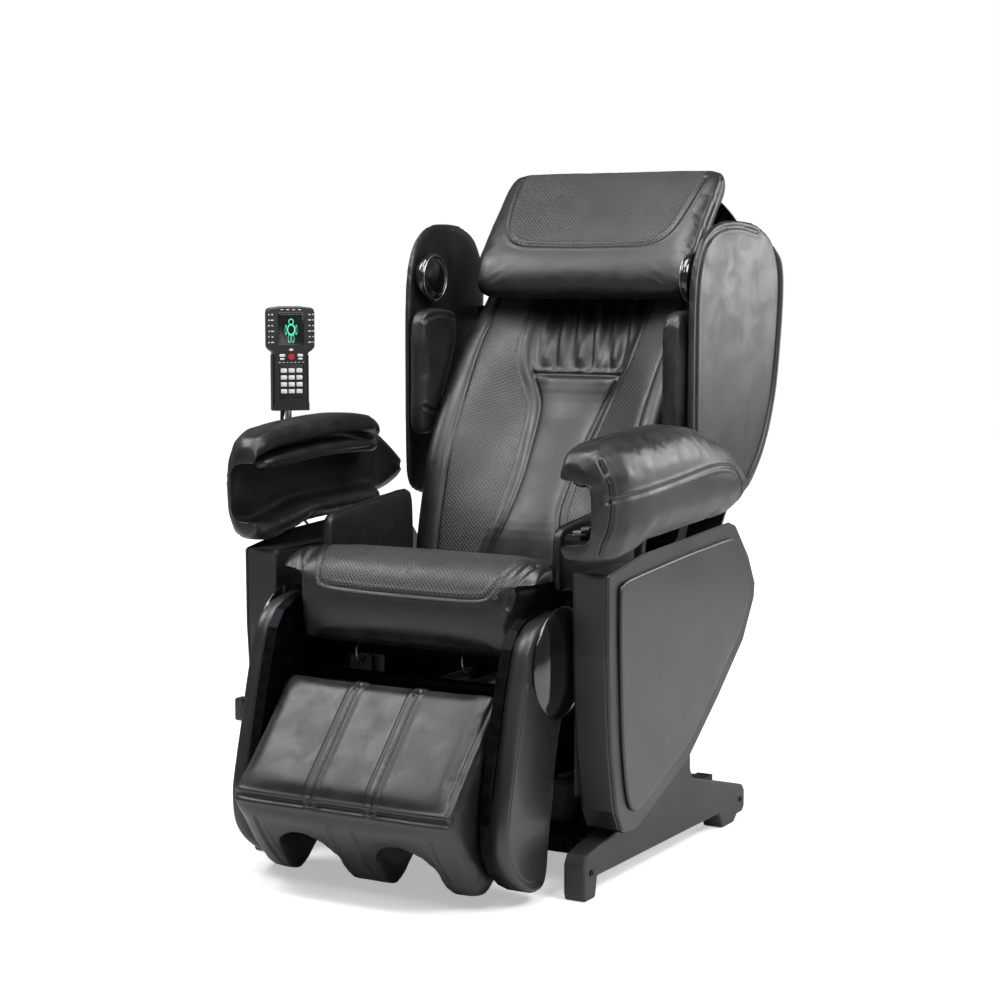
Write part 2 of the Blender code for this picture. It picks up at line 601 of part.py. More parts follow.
def recline_motor():
    foot_point = Vector((0.0, 0.120, 0.110))
    top = Vector((0.0, 0.200, 0.490))
    run = (top - foot_point).normalized()
    tube = rod(foot_point, foot_point + run * 0.200, 0.017, 20)
    eye = rod((-0.0225, 0.120, 0.110), (0.0225, 0.120, 0.110), 0.014, 16)
    can = rod(foot_point + run * 0.060 + Vector((0, 0.045, -0.010)),
              foot_point + run * 0.170 + Vector((0, 0.045, -0.010)), 0.023, 20)
    bridge = box((-0.014, 0.118, 0.150), (0.014, 0.190, 0.190), 0.003)
    bore = rod(foot_point + run * 0.070, foot_point + run * 0.203, 0.0086, 24)
    return add_object("recline_motor", cut(unite(bridge, tube, eye, can), bore), GREY, foot_point)


def recline_rod():
    foot_point = Vector((0.0, 0.120, 0.110))
    run = (Vector((0.0, 0.200, 0.490)) - foot_point).normalized()
    bm = rod(foot_point + run * 0.1850, foot_point + run * 0.360, 0.008, 16)
    return add_object("recline_rod", bm, ZINC, foot_point + run * 0.2004)


# ---------------------------------------------------------------- armrests
ARM_TOP = [(-0.328, 0.712), (-0.310, 0.734), (-0.270, 0.746), (-0.200, 0.752), (-0.043, 0.760), (0.070, 0.746),
           (0.145, 0.723), (0.200, 0.690), (0.240, 0.655)]
ARM_BOTTOM = [(-0.328, 0.562), (-0.310, 0.550), (-0.270, 0.548), (-0.200, 0.560), (-0.155, 0.572), (0.000, 0.578),
              (0.120, 0.583), (0.171, 0.589), (0.215, 0.606), (0.240, 0.625)]
ARM_SIDE = [(-0.328, 0.346), (-0.318, 0.357), (-0.300, 0.371), (-0.270, 0.386), (-0.200, 0.395), (0.120, 0.395), (0.200, 0.390),
            (0.240, 0.378)]
ARM_LIP = [(-0.328, 0.292), (-0.300, 0.284), (0.040, 0.284), (0.085, 0.300), (0.120, 0.338), (0.145, 0.344),
           (0.240, 0.344)]


def armrest(side, name):
    rings = []
    for y in (-0.328, -0.318, -0.300, -0.270, -0.200, -0.120, -0.040, 0.040, 0.085, 0.120, 0.150, 0.190, 0.220, 0.240):
        top = blend(ARM_TOP, y)
        low = blend(ARM_BOTTOM, y)
        out = blend(ARM_SIDE, y)
        lip = blend(ARM_LIP, y)
        wall = min(out - 0.030, 0.351) if y < 0.10 else 0.346
        wall = max(wall, lip + 0.005)
        near = lip + min(0.008, 0.25 * (wall - lip))
        far = wall - min(0.010, 0.25 * (wall - lip))
        tall = top - low
        roof = top - 0.044
        deck = low + 0.038
        if roof - deck < 0.020:
            roof = low + 0.62 * tall
            deck = low + 0.38 * tall
        small = min(0.006, 0.20 * (roof - deck))
        lower = min(0.012, 0.12 * tall)
        upper = min(0.014, 0.14 * tall)
        wide = out - lip
        shoulder = out - min(0.030, 0.50 * wide)
        round_out = out - min(0.015, 0.25 * wide)
        start = lip + min(0.010, 0.22 * wide)
        outline = [(lip, deck - small), (lip, low + lower), (start, low), (shoulder, low), (round_out, low + lower),
                   (out - 0.003, low + min(0.045, 0.30 * tall)), (out, low + 0.5 * tall),
                   (out - 0.003, top - min(0.048, 0.30 * tall)), (round_out, top - upper), (shoulder, top),
                   (start, top), (lip, top - upper), (lip, roof + small), (near, roof), (far, roof),
                   (wall, roof - small), (wall, deck + small), (far, deck), (near, deck)]
        rings.append([(side * x, y, z) for x, z in outline])
    return add_object(name, loft(rings), LEATHER)


def arm_flap(side, name):
    rings = []
    for y, grow in ((-0.294, 0.55), (-0.284, 0.85), (-0.255, 1.0), (-0.120, 1.0), (0.000, 1.0), (0.060, 0.85),
                    (0.078, 0.55)):
        top = blend(ARM_TOP, y) - 0.0480
        mid = 0.313
        half = 0.024 * grow
        thick = 0.026 * grow
        ring = [(mid - half, top - 0.004), (mid - half, top - thick + 0.006), (mid - half + 0.008, top - thick),
                (mid + half - 0.008, top - thick), (mid + half, top - thick + 0.006), (mid + half, top - 0.004),
                (mid + half - 0.004, top), (mid - half + 0.004, top)]
        rings.append([(side * x, y, z) for x, z in ring])
    return add_object(name, loft(rings), LEATHER)


def arm_console():
    rings = []
    for y in (-0.306, -0.300, -0.270, -0.235):
        deck = blend(ARM_BOTTOM, y) + 0.0400
        ring = [(0.295, deck), (0.322, deck), (0.322, deck + 0.006), (0.319, deck + 0.009), (0.298, deck + 0.009),
                (0.295, deck + 0.006)]
        rings.append([(x, y, z) for x, z in ring])
    return add_object("arm_console", loft(rings), GLOSS)


def arm_key(y, name):
    deck = max(blend(ARM_BOTTOM, y - 0.010), blend(ARM_BOTTOM, y + 0.010)) + 0.0400 + 0.0102
    centre = (0.3105, y, deck)
    bm = box((0.3020, y - 0.010, deck), (0.3190, y + 0.010, deck + 0.0045), 0.0015)
    return add_object(name, bm, CHROME, centre)


# ---------------------------------------------------------------- remote
def remote_point(across, out, up):
    """Point in the remote frame: across its face, out of its face, up."""
    c, s = math.cos(REMOTE_YAW), math.sin(REMOTE_YAW)
    across, up = across * REMOTE_WIDE, up * REMOTE_TALL
    return (POLE_X + across * c + out * s, POLE_Y + across * s - out * c, REMOTE_BASE_Z + up)


def remote_block(outline, out0, out1, width=0.0):
    """Face outline (across, up) given thickness along the facing direction."""
    bm = loft([[remote_point(a, o, u) for a, u in outline] for o in (out0, out1)])
    if width > 0.0:
        bevel(bm, width)
    return bm


def rectangle(a0, a1, u0, u1):
    return [(a0, u0), (a1, u0), (a1, u1), (a0, u1)]


def remote_pole():
    tube = rod((POLE_X, POLE_Y, 0.455), (POLE_X, POLE_Y, REMOTE_BASE_Z + 0.0396), 0.0058, 16)
    bracket = box((POLE_X - 0.012, POLE_Y - 0.014, 0.450), (-COVER_OUT - PANEL_THICK - 2 * GAP, POLE_Y + 0.014,
                                                           0.492), 0.002)
    return add_object("remote_pole", unite(bracket, tube), CHROME)


def remote_cradle():
    hook = [(0.0075, -0.0040), (0.0420, -0.0040), (0.0420, 0.0120), (0.0384, 0.0120), (0.0384, 0.0036),
            (0.0115, 0.0036), (0.0115, 0.1200), (0.0075, 0.1200)]
    holder = loft([[remote_point(across, out, up) for out, up in hook] for across in (-0.0360, 0.0360)])
    sides = [remote_block(rectangle(a, a + 0.0025, -0.0046, 0.1040), 0.0070, 0.0300) for a in (-0.0374, 0.0349)]
    socket = rod((POLE_X, POLE_Y, REMOTE_BASE_Z + 0.040), (POLE_X, POLE_Y, REMOTE_BASE_Z + 0.080), 0.0088, 16)
    return add_object("remote_cradle", unite(holder, socket, *sides), SATIN, (POLE_X, POLE_Y, 0.0))


def remote_case():
    outline = [(-0.0325, 0.004), (0.0325, 0.004), (0.0345, 0.012), (0.0345, 0.108), (0.047, 0.116), (0.049, 0.122),
               (0.049, 0.190), (0.045, 0.196), (0.020, 0.199), (-0.020, 0.199), (-0.045, 0.196), (-0.049, 0.190),
               (-0.049, 0.122), (-0.047, 0.116), (-0.0345, 0.108), (-0.0345, 0.012)]
    body = remote_block(outline, 0.0120, 0.0375, 0.0025)
    well = remote_block(rectangle(-0.0255, 0.0255, 0.020, 0.088), 0.0355, 0.0450)
    power = rod(remote_point(0.0, 0.0355, 0.1010), remote_point(0.0, 0.0450, 0.1010), 0.0062, 16)
    screen = remote_block(rectangle(-0.0245, 0.0245, 0.126, 0.184), 0.0361, 0.0450)
    return add_object("remote_case", cut(body, well, power, screen), SATIN, (POLE_X, POLE_Y, 0.0))


def remote_keypad():
    mat = remote_block(rectangle(-0.0250, 0.0250, 0.0205, 0.0875), 0.0372, 0.0382)
    keys = []
    for row in range(4):
        for column in (-1, 0, 1):
            u = 0.0335 + 0.0135 * row
            a = 0.0160 * column
            keys.append(remote_block(rectangle(a - 0.0060, a + 0.0060, u - 0.0042, u + 0.0042), 0.0376, 0.0402))
    return add_object("remote_keypad", unite(mat, *keys), KEYS, remote_point(0.0, 0.0372, 0.054))


def remote_power_key():
    start = remote_point(0.0, 0.0368, 0.1010)
    end = remote_point(0.0, 0.0395, 0.1010)
    return add_object("remote_power_key", rod(start, end, 0.0057, 16), RED, start)


def remote_screen():
    bm = remote_block(rectangle(-0.0241, 0.0241, 0.1264, 0.1836), 0.0364, 0.0378)
    return add_object("remote_screen", bm, GLASS, remote_point(0.0, 0.0364, 0.155))


def remote_cable():
    start = Vector(remote_point(-0.016, 0.0235, -0.0046))
    points = [start, start + Vector((-0.006, 0.004, -0.022)), Vector((-0.4290, -0.052, 0.700)),
              Vector((-0.4270, -0.040, 0.640)), Vector((-0.4190, -0.032, 0.590)), Vector((-0.4000, -0.028, 0.555)),
              Vector((-0.3720, -0.027, 0.535)), Vector((-0.3580, -0.027, 0.535))]
    curve = bpy.data.curves.new("remote_cable", 'CURVE')
    curve.dimensions = '3D'
    curve.bevel_depth = 0.0024
    curve.bevel_resolution = 2
    curve.use_fill_caps = True
    smooth = []
    for k in range(len(points) - 1):
        p0, p1 = points[max(k - 1, 0)], points[k]
        p2, p3 = points[k + 1], points[min(k + 2, len(points) - 1)]
        for step in range(4):
            t = step / 4.0
            smooth.append(0.5 * ((2 * p1) + (p2 - p0) * t + (2 * p0 - 5 * p1 + 4 * p2 - p3) * t * t +
                                 (3 * p1 - p0 - 3 * p2 + p3) * t ** 3))
    smooth.append(points[-1] + Vector((-0.0042, 0.0, 0.0)))
    spline = curve.splines.new('POLY')
    spline.points.add(len(smooth) - 1)
    for point, place in zip(spline.points, smooth):
        point.co = (*place, 1.0)
    curve.materials.append(RUBBER)
    obj = bpy.data.objects.new("remote_cable", curve)
    obj.location = (FRAME_X, FRAME_Y, 0.0)
    bpy.context.collection.objects.link(obj)
    return obj


# ---------------------------------------------------------------- assembly
base_frame()
seat_frame()
seat_cushion()
power_module()
power_switch()
air_pump()
control_box()
leg_motor()
leg_rod()
recline_motor()
recline_rod()
leg_frame()
ottoman_pad()
latch_lever()
back_frame()
back_pad()
back_shell()
head_pillow()
carriage()
lead_screw()
arm_console()
arm_key(-0.286, "arm_key_front")
arm_key(-0.258, "arm_key_rear")
remote_pole()
remote_cradle()
remote_case()
remote_keypad()
remote_power_key()
remote_screen()
remote_cable()
for hand, word in ((-1, "left"), (1, "right")):
    base_cover(hand, "base_cover_" + word)
    wheel(hand, "wheel_" + word)
    side_cover(hand, "side_cover_" + word)
    side_panel(hand, "side_panel_" + word)
    hip_wing(hand, "hip_wing_" + word)
    leg_cover(hand, "leg_cover_" + word)
    pivot_cap(hand, "pivot_cap_" + word)
    wing(hand, "wing_" + word)
    shoulder_pad(hand, "shoulder_pad_" + word)
    speaker(hand, "speaker_" + word)
    roller_arm(hand, "roller_arm_" + word)
    roller(hand, 0.060, "roller_upper_" + word)
    roller(hand, -0.060, "roller_lower_" + word)
    armrest(hand, "armrest_" + word)
    arm_flap(hand, "arm_flap_" + word)
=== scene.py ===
"""Massage chair, upholstered and finished over its frame: leather, perforated leather, mouldings, handset."""
import json
import math
import bpy
import bmesh
import numpy as np
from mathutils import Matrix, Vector
from mathutils.bvhtree import BVHTree
from mathutils.kdtree import KDTree


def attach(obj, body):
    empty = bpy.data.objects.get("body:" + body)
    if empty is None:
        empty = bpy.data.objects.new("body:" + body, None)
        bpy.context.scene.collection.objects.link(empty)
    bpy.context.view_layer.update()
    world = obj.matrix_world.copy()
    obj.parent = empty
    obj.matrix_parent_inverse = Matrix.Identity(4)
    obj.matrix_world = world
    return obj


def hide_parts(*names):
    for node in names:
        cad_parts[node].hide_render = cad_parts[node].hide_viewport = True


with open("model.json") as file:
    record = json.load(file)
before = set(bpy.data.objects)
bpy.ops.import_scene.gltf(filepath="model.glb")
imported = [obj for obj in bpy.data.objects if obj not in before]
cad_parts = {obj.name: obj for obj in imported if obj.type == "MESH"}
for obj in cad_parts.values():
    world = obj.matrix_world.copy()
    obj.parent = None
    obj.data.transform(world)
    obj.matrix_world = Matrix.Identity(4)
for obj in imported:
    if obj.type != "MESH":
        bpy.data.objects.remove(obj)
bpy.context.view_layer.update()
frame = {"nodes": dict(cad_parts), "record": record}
NODES = frame["nodes"]
SCENE = bpy.context.scene
SHIFT = Vector((0.0187, -0.0345, 0.0))      # chair centre-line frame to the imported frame
CAMERA_AT, CAMERA_TURN = (1.90994, -3.35825, 1.02), (29.6, 6.05)
CAMERA_LENS_MM = 78.77
STITCH_LIFT = 0.0004                        # thread stands this far off the hide
COVER_VOXEL = 0.0055                        # mesh width of a padded cover
WING_MIDDLE, WING_FLARE, WING_ROOT = 0.297, 0.085, 0.160    # wings lean outwards with depth from their root
HANDSET_FOOT = (-0.411, -0.060, 0.766)      # where the holder stands on its pole
HANDSET_WIDE, HANDSET_TALL = 0.89, 0.93     # case against the size its keys are listed in


# ---------------------------------------------------------------- small tools
def added(name, data):
    """New object with its data, in the scene."""
    obj = bpy.data.objects.new(name, data)
    bpy.context.collection.objects.link(obj)
    return obj


def finished_mesh(obj):
    """Plain mesh of an object as its modifiers leave it; the object goes."""
    graph = bpy.context.evaluated_depsgraph_get()
    graph.update()
    mesh = bpy.data.meshes.new_from_object(obj.evaluated_get(graph))
    bpy.data.objects.remove(obj, do_unlink=True)
    return mesh


def as_mesh(source):
    """Mesh from a bmesh, or the mesh itself."""
    if not isinstance(source, bmesh.types.BMesh):
        return source
    mesh = bpy.data.meshes.new("work")
    source.to_mesh(mesh)
    source.free()
    return mesh


def point_layer(mesh, name, kind, values):
    """Values stored on a mesh's points."""
    layer = mesh.attributes.new(name, kind, 'POINT')
    layer.data.foreach_set("vector" if kind == 'FLOAT_VECTOR' else "value", np.asarray(values, np.float32).ravel())


def srgb(code):
    """sRGB hex to a linear RGBA colour."""
    rgb = []
    for i in (0, 2, 4):
        value = int(code[i:i + 2], 16) / 255.0
        rgb.append(value / 12.92 if value <= 0.04045 else ((value + 0.055) / 1.055) ** 2.4)
    return (*rgb, 1.0)


def blend(points, value):
    """Value on straight lines between (key, value) pairs."""
    keys, values = zip(*points)
    return float(np.interp(value, keys, values))


def node(tree, kind, links=None, **settings):
    """One node with its settings and its inputs, a link or a constant each."""
    made = tree.nodes.new(kind)
    inputs = links or {}
    for name, value in settings.items():
        setattr(made, name, value)
    for name, value in inputs.items():
        socket = made.inputs[name]
        if isinstance(value, bpy.types.NodeSocket):
            tree.links.new(value, socket)
        else:
            socket.default_value = value
    return made


def fresh(name, rough, code=None, metallic=0.0, ior=1.5, coat=0.0, coat_rough=0.1, sheen=0.0):
    """Material with an empty Principled surface; returns it with its tree and shader."""
    mat = bpy.data.materials.new(name)
    mat.use_nodes = True
    tree = mat.node_tree
    shader = tree.nodes["Principled BSDF"]
    if code:
        shader.inputs["Base Color"].default_value = srgb(code)
    for socket, value in (("Roughness", rough), ("Metallic", metallic), ("IOR", ior), ("Coat Weight", coat),
                          ("Coat Roughness", coat_rough), ("Sheen Weight", sheen)):
        shader.inputs[socket].default_value = value
    return mat, tree, shader


def place(tree):
    """Coordinates that stay with the object."""
    return node(tree, "ShaderNodeTexCoord").outputs["Object"]


def roughen(tree, shader, source, low, high, span=(0.35, 0.65)):
    """Roughness that follows a pattern."""
    out = node(tree, "ShaderNodeMapRange", {"Value": source, "From Min": span[0], "From Max": span[1],
                                            "To Min": low, "To Max": high})
    tree.links.new(out.outputs["Result"], shader.inputs["Roughness"])


def tint(tree, shader, source, dark, light, span=(0.3, 0.7)):
    """Base colour between two hex colours, by a pattern."""
    ramp = node(tree, "ShaderNodeValToRGB", {"Fac": source})
    ramp.color_ramp.elements[0].position, ramp.color_ramp.elements[1].position = span
    ramp.color_ramp.elements[0].color, ramp.color_ramp.elements[1].color = srgb(dark), srgb(light)
    tree.links.new(ramp.outputs["Color"], shader.inputs["Base Color"])
    return ramp.outputs["Color"]


# ---------------------------------------------------------------- finishes
def leather_grain(tree, coords):
    """Height of embossed grain: pebbles about 2.4 mm, drawn twice real size to show, over slow waviness."""
    pebble = node(tree, "ShaderNodeTexVoronoi", {"Vector": coords, "Scale": 420.0}, feature='F1')
    fine = node(tree, "ShaderNodeTexNoise", {"Vector": coords, "Scale": 900.0, "Detail": 2.0})
    wave = node(tree, "ShaderNodeTexNoise", {"Vector": coords, "Scale": 22.0, "Detail": 3.0, "Distortion": 0.6})
    mix = node(tree, "ShaderNodeMath", {0: pebble.outputs["Distance"], 1: fine.outputs["Fac"]}, operation='MULTIPLY')
    return mix.outputs[0], wave.outputs["Fac"]


def leather(name, dark, light, perforated=False):
    """Coated cowhide, embossed with a pebble grain: a soft grey sheen that breaks up into small pebbles.
    Perforated panels add punched holes in diagonal rows, drawn 5.3 mm apart: real ones are finer and wouldn't show."""
    mat, tree, shader = fresh(name, 0.42, ior=1.5)
    coords = place(tree)
    grain, wave = leather_grain(tree, coords)
    colour = tint(tree, shader, wave, dark, light)
    roughen(tree, shader, wave, 0.36, 0.47)
    coarse = node(tree, "ShaderNodeBump", {"Strength": 0.10, "Distance": 0.0020, "Height": wave})
    bump = node(tree, "ShaderNodeBump", {"Strength": 0.32, "Distance": 0.0005, "Height": grain,
                                         "Normal": coarse.outputs["Normal"]})
    final = bump
    if perforated:
        flat = node(tree, "ShaderNodeAttribute", attribute_name="panel_flat").outputs["Vector"]
        mask = node(tree, "ShaderNodeAttribute", attribute_name="panel_mask").outputs["Fac"]
        turned = node(tree, "ShaderNodeMapping", {"Vector": flat, "Rotation": (0.0, 0.0, math.radians(45.0)),
                                                  "Scale": (1.0, 1.0, 0.0)})
        holes = node(tree, "ShaderNodeTexVoronoi", {"Vector": turned.outputs["Vector"], "Scale": 190.0,
                                                    "Randomness": 0.0}, voronoi_dimensions='2D')
        edge = node(tree, "ShaderNodeMapRange", {"Value": holes.outputs["Distance"], "From Min": 0.24,
                                                 "From Max": 0.40, "To Min": 1.0, "To Max": 0.0})
        hole = node(tree, "ShaderNodeMath", {0: edge.outputs["Result"], 1: mask}, operation='MULTIPLY')
        paler = node(tree, "ShaderNodeMix", {"Factor": mask, "A": colour, "B": srgb("38383a")}, data_type='RGBA')
        darker = node(tree, "ShaderNodeMix", {"Factor": hole.outputs[0], "A": paler.outputs["Result"],
                                              "B": srgb("020202")}, data_type='RGBA')
        tree.links.new(darker.outputs["Result"], shader.inputs["Base Color"])
        final = node(tree, "ShaderNodeBump", {"Strength": 0.8, "Distance": 0.0010, "Height": hole.outputs[0],
                                              "Normal": bump.outputs["Normal"]}, invert=True)
    tree.links.new(final.outputs["Normal"], shader.inputs["Normal"])
    return mat


def moulding(name, dark, light, rough, grain_mm, depth, coat=0.0):
    """Injection-moulded ABS with a spark-eroded texture: fine orange-peel that softens the highlight."""
    mat, tree, shader = fresh(name, rough, ior=1.53, coat=coat, coat_rough=0.06)
    coords = place(tree)
    grain = node(tree, "ShaderNodeTexNoise", {"Vector": coords, "Scale": 1000.0 / grain_mm, "Detail": 2.0})
    slow = node(tree, "ShaderNodeTexNoise", {"Vector": coords, "Scale": 9.0, "Detail": 2.0})
    tint(tree, shader, slow.outputs["Fac"], dark, light)
    roughen(tree, shader, slow.outputs["Fac"], rough - 0.04, rough + 0.05)
    bump = node(tree, "ShaderNodeBump", {"Strength": depth, "Distance": 0.0004, "Height": grain.outputs["Fac"]})
    tree.links.new(bump.outputs["Normal"], shader.inputs["Normal"])
    return mat


def metal(name, dark, light, rough, streak):
    """Plated or painted steel: drawn or sprayed, so the highlight is streaked or mottled a little."""
    mat, tree, shader = fresh(name, rough, metallic=1.0)
    coords = place(tree)
    stretch = node(tree, "ShaderNodeMapping", {"Vector": coords, "Scale": streak})
    grain = node(tree, "ShaderNodeTexNoise", {"Vector": stretch.outputs["Vector"], "Scale": 60.0, "Detail": 3.0})
    tint(tree, shader, grain.outputs["Fac"], dark, light)
    roughen(tree, shader, grain.outputs["Fac"], rough, rough + 0.12)
    return mat


def handset_screen():
    """Acrylic window over a lit panel: near black, with a faint green outline figure of a body and two bars."""
    mat, tree, shader = fresh("acrylic_window", 0.08, "07090a", ior=1.49, coat=0.6, coat_rough=0.03)
    flat = node(tree, "ShaderNodeAttribute", attribute_name="panel_flat").outputs["Vector"]
    total = None
    # head, trunk, two arms, two legs as soft rings and bars; centre (x, y) and half sizes in screen millimetres
    for cx, cy, rx, ry in ((0.0, 13.0, 4.2, 5.0), (0.0, -1.0, 6.5, 9.0), (-9.5, -1.5, 1.6, 8.0), (9.5, -1.5, 1.6, 8.0),
                           (-3.2, -17.0, 2.3, 7.0), (3.2, -17.0, 2.3, 7.0)):
        shape = node(tree, "ShaderNodeMapping", {"Vector": flat, "Location": (-cx / rx, -cy / ry, 0.0),
                                                 "Scale": (1000.0 / rx, 1000.0 / ry, 0.0)})
        size = node(tree, "ShaderNodeVectorMath", {0: shape.outputs["Vector"]}, operation='LENGTH')
        ring = node(tree, "ShaderNodeMath", {0: size.outputs["Value"], 1: 1.0, 2: 0.16}, operation='COMPARE')
        total = ring.outputs[0] if total is None else node(
            tree, "ShaderNodeMath", {0: total, 1: ring.outputs[0]}, operation='MAXIMUM').outputs[0]
    glow = node(tree, "ShaderNodeMix", {"Factor": total, "A": srgb("060b0a"), "B": srgb("49b58c")}, data_type='RGBA')
    tree.links.new(glow.outputs["Result"], shader.inputs["Base Color"])
    tree.links.new(glow.outputs["Result"], shader.inputs["Emission Color"])
    shader.inputs["Emission Strength"].default_value = 0.9
    return mat


HIDE = leather("grained_cowhide", "101011", "18181a")
PERFORATED = leather("punched_cowhide", "101011", "18181a", perforated=True)
SATIN_ABS = moulding("satin_moulded_abs", "121213", "1b1b1d", 0.40, 0.9, 0.22)
PANEL_ABS = moulding("painted_abs_panel", "131315", "1b1b1d", 0.38, 0.7, 0.12, coat=0.12)
GLOSS_ABS = moulding("polished_abs", "08080a", "0e0e10", 0.12, 3.0, 0.03, coat=0.6)
BASE_ABS = moulding("textured_grey_abs", "131415", "1c1d1f", 0.55, 1.4, 0.45)
POWDER = metal("powder_coated_steel", "101113", "1c1d20", 0.42, (1.0, 1.0, 1.0))
ZINC = metal("zinc_plated_steel", "85888c", "b4b7ba", 0.28, (1.0, 1.0, 12.0))
CHROME = metal("chromium_plate", "cfd1d3", "e6e7e9", 0.06, (1.0, 1.0, 1.0))
RUBBER = moulding("vulcanised_rubber", "0d0d0d", "171717", 0.80, 1.2, 0.5)
KEY_ABS = moulding("pale_key_abs", "b9bcbf", "cdd0d2", 0.42, 0.8, 0.10)
RED_ABS = moulding("red_key_abs", "9c1e18", "b82a22", 0.35, 0.8, 0.10)
THREAD = moulding("bonded_nylon_thread", "2c2c2e", "48484b", 0.55, 0.5, 0.6)
MARKING = moulding("printed_pale_ink", "a9acae", "c6c8ca", 0.5, 1.0, 0.05)
SCREEN = handset_screen()

CAD_FINISH = {"steel": POWDER, "grey": BASE_ABS, "satin": SATIN_ABS, "gloss": GLOSS_ABS, "zinc": ZINC, "chrome": CHROME,
              "rubber": RUBBER, "keys": KEY_ABS, "red": RED_ABS, "screen": SCREEN, "leather": HIDE,
              "leather_mid": PERFORATED}
for entry in frame["record"]["subparts"]:
    for held in NODES[entry["node"]].material_slots:
        held.material = CAD_FINISH[entry["material_slot"]]
for name in ("side_panel_left", "side_panel_right"):
    NODES[name].material_slots[0].material = PANEL_ABS


# ---------------------------------------------------------------- stage
def look_from(place_at, azimuth, elevation):
    """Place and turn of a camera that looks from an azimuth and elevation, in degrees."""
    az, el = math.radians(azimuth), math.radians(elevation)
    aim = Vector((-math.sin(az) * math.cos(el), math.cos(az) * math.cos(el), -math.sin(el)))
    return Vector(place_at), aim.to_track_quat('-Z', 'Y').to_euler()


def camera_and_lights():
    """Camera, lamps, white room and a floor with a painted glow."""
    lens = bpy.data.cameras.new("camera")
    lens.sensor_width, lens.lens = 36.0, CAMERA_LENS_MM
    camera = added("camera", lens)
    x, y, z = CAMERA_AT
    camera.location, camera.rotation_euler = look_from((x + SHIFT.x, y + SHIFT.y, z), *CAMERA_TURN)
    SCENE.camera = camera
    # soft boxes to the left, above, to the right and behind, and a weak strip in front
    for name, at, aim, size, power in (
            ("soft_box_left", (-1.8, -0.9, 2.7), (0.0, 0.1, 0.9), 1.2, 52.0),
            ("soft_box_top", (0.2, -0.5, 2.7), (0.0, 0.1, 0.9), 1.3, 54.0),
            ("soft_box_right", (2.3, -0.7, 2.4), (0.3, 0.2, 0.95), 1.1, 62.0),
            ("soft_box_behind", (2.1, 2.6, 1.5), (0.3, 0.2, 0.9), 1.5, 58.0),
            ("strip_front", (0.5, -2.6, 2.9), (0.0, 0.0, 0.9), 0.8, 20.0)):
        light = bpy.data.lights.new(name, 'AREA')
        light.shape, light.size, light.energy = 'SQUARE', size, power
        lamp = added(name, light)
        lamp.location = at
        lamp.rotation_euler = (Vector(aim) - Vector(at)).to_track_quat('-Z', 'Y').to_euler()
    world = bpy.data.worlds.new("studio") if SCENE.world is None else SCENE.world
    SCENE.world = world
    world.use_nodes = True
    # a white room to look at, dimmer as a light so that black hide stays black
    tree = world.node_tree
    rays = node(tree, "ShaderNodeLightPath")
    level = node(tree, "ShaderNodeMapRange", {"Value": rays.outputs["Is Camera Ray"], "To Min": 0.20, "To Max": 1.0})
    back = tree.nodes["Background"]
    back.inputs["Color"].default_value = (1.0, 1.0, 1.0, 1.0)
    tree.links.new(level.outputs["Result"], back.inputs["Strength"])
    mat, tree, shader = fresh("white_floor_painted_glow", 0.9, "f2f2f2", ior=1.2)
    shader.inputs["Emission Color"].default_value = (1.0, 1.0, 1.0, 1.0)
    # painted light: the floor glows to the eye only, more with distance from the chair, so that it runs into the white
    # room and stays darker near the chair
    sight = node(tree, "ShaderNodeLightPath")
    away = node(tree, "ShaderNodeVectorMath", {0: place(tree)}, operation='LENGTH')
    painted_glow_level = node(tree, "ShaderNodeMapRange", {"Value": away.outputs["Value"], "From Min": 0.7, "From Max": 3.2,
                                             "To Min": 0.42, "To Max": 1.0})
    glow = node(tree, "ShaderNodeMath", {0: sight.outputs["Is Camera Ray"], 1: painted_glow_level.outputs["Result"]},
                operation='MULTIPLY')
    tree.links.new(glow.outputs[0], shader.inputs["Emission Strength"])
    grid = bmesh.new()
    bmesh.ops.create_grid(grid, x_segments=1, y_segments=1, size=9.0)
    mesh = bpy.data.meshes.new("floor")
    grid.to_mesh(mesh)
    grid.free()
    mesh.materials.append(mat)
    added("floor", mesh)


camera_and_lights()
SCENE.view_settings.view_transform = 'Standard'


# ---------------------------------------------------------------- mesh helpers
def piece(name, bm, mat, body, replaces=(), smooth=True):
    """Finished object from a bmesh in the chair frame: origin at zero, riding on its body."""
    bmesh.ops.recalc_face_normals(bm, faces=bm.faces)
    for vert in bm.verts:
        vert.co += SHIFT
    mesh = bpy.data.meshes.new(name)
    bm.to_mesh(mesh)
    bm.free()
    return finish_piece(name, mesh, mat, body, replaces, smooth)


def finish_piece(name, mesh, mat, body, replaces=(), smooth=True):
    mesh.materials.clear()
    mesh.materials.append(mat)
    mesh.polygons.foreach_set("use_smooth", [smooth] * len(mesh.polygons))
    obj = added(name, mesh)
    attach(obj, body)
    if replaces:
        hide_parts(*replaces)
    return obj


def loft(rings):
    """Closed form through rings of equal count; each end is closed by one face."""
    bm = bmesh.new()
    rows = [[bm.verts.new(p) for p in ring] for ring in rings]
    count = len(rows[0])
    for low, high in zip(rows, rows[1:]):
        for i in range(count):
            j = (i + 1) % count
            bm.faces.new((low[i], low[j], high[j], high[i]))
    bm.faces.new(rows[0])
    bm.faces.new(rows[-1][::-1])
    bmesh.ops.recalc_face_normals(bm, faces=bm.faces)
    return bm


def applied(source, *modifiers):
    """Mesh after modifiers given as (kind, settings)."""
    obj = added("work", as_mesh(source))
    for kind, settings in modifiers:
        mod = obj.modifiers.new(kind.lower(), kind)
        for key, value in settings.items():
            setattr(mod, key, value)
    return finished_mesh(obj)


def coordinates(mesh):
    co = np.empty(len(mesh.vertices) * 3)
    mesh.vertices.foreach_get("co", co)
    return co.reshape(-1, 3)


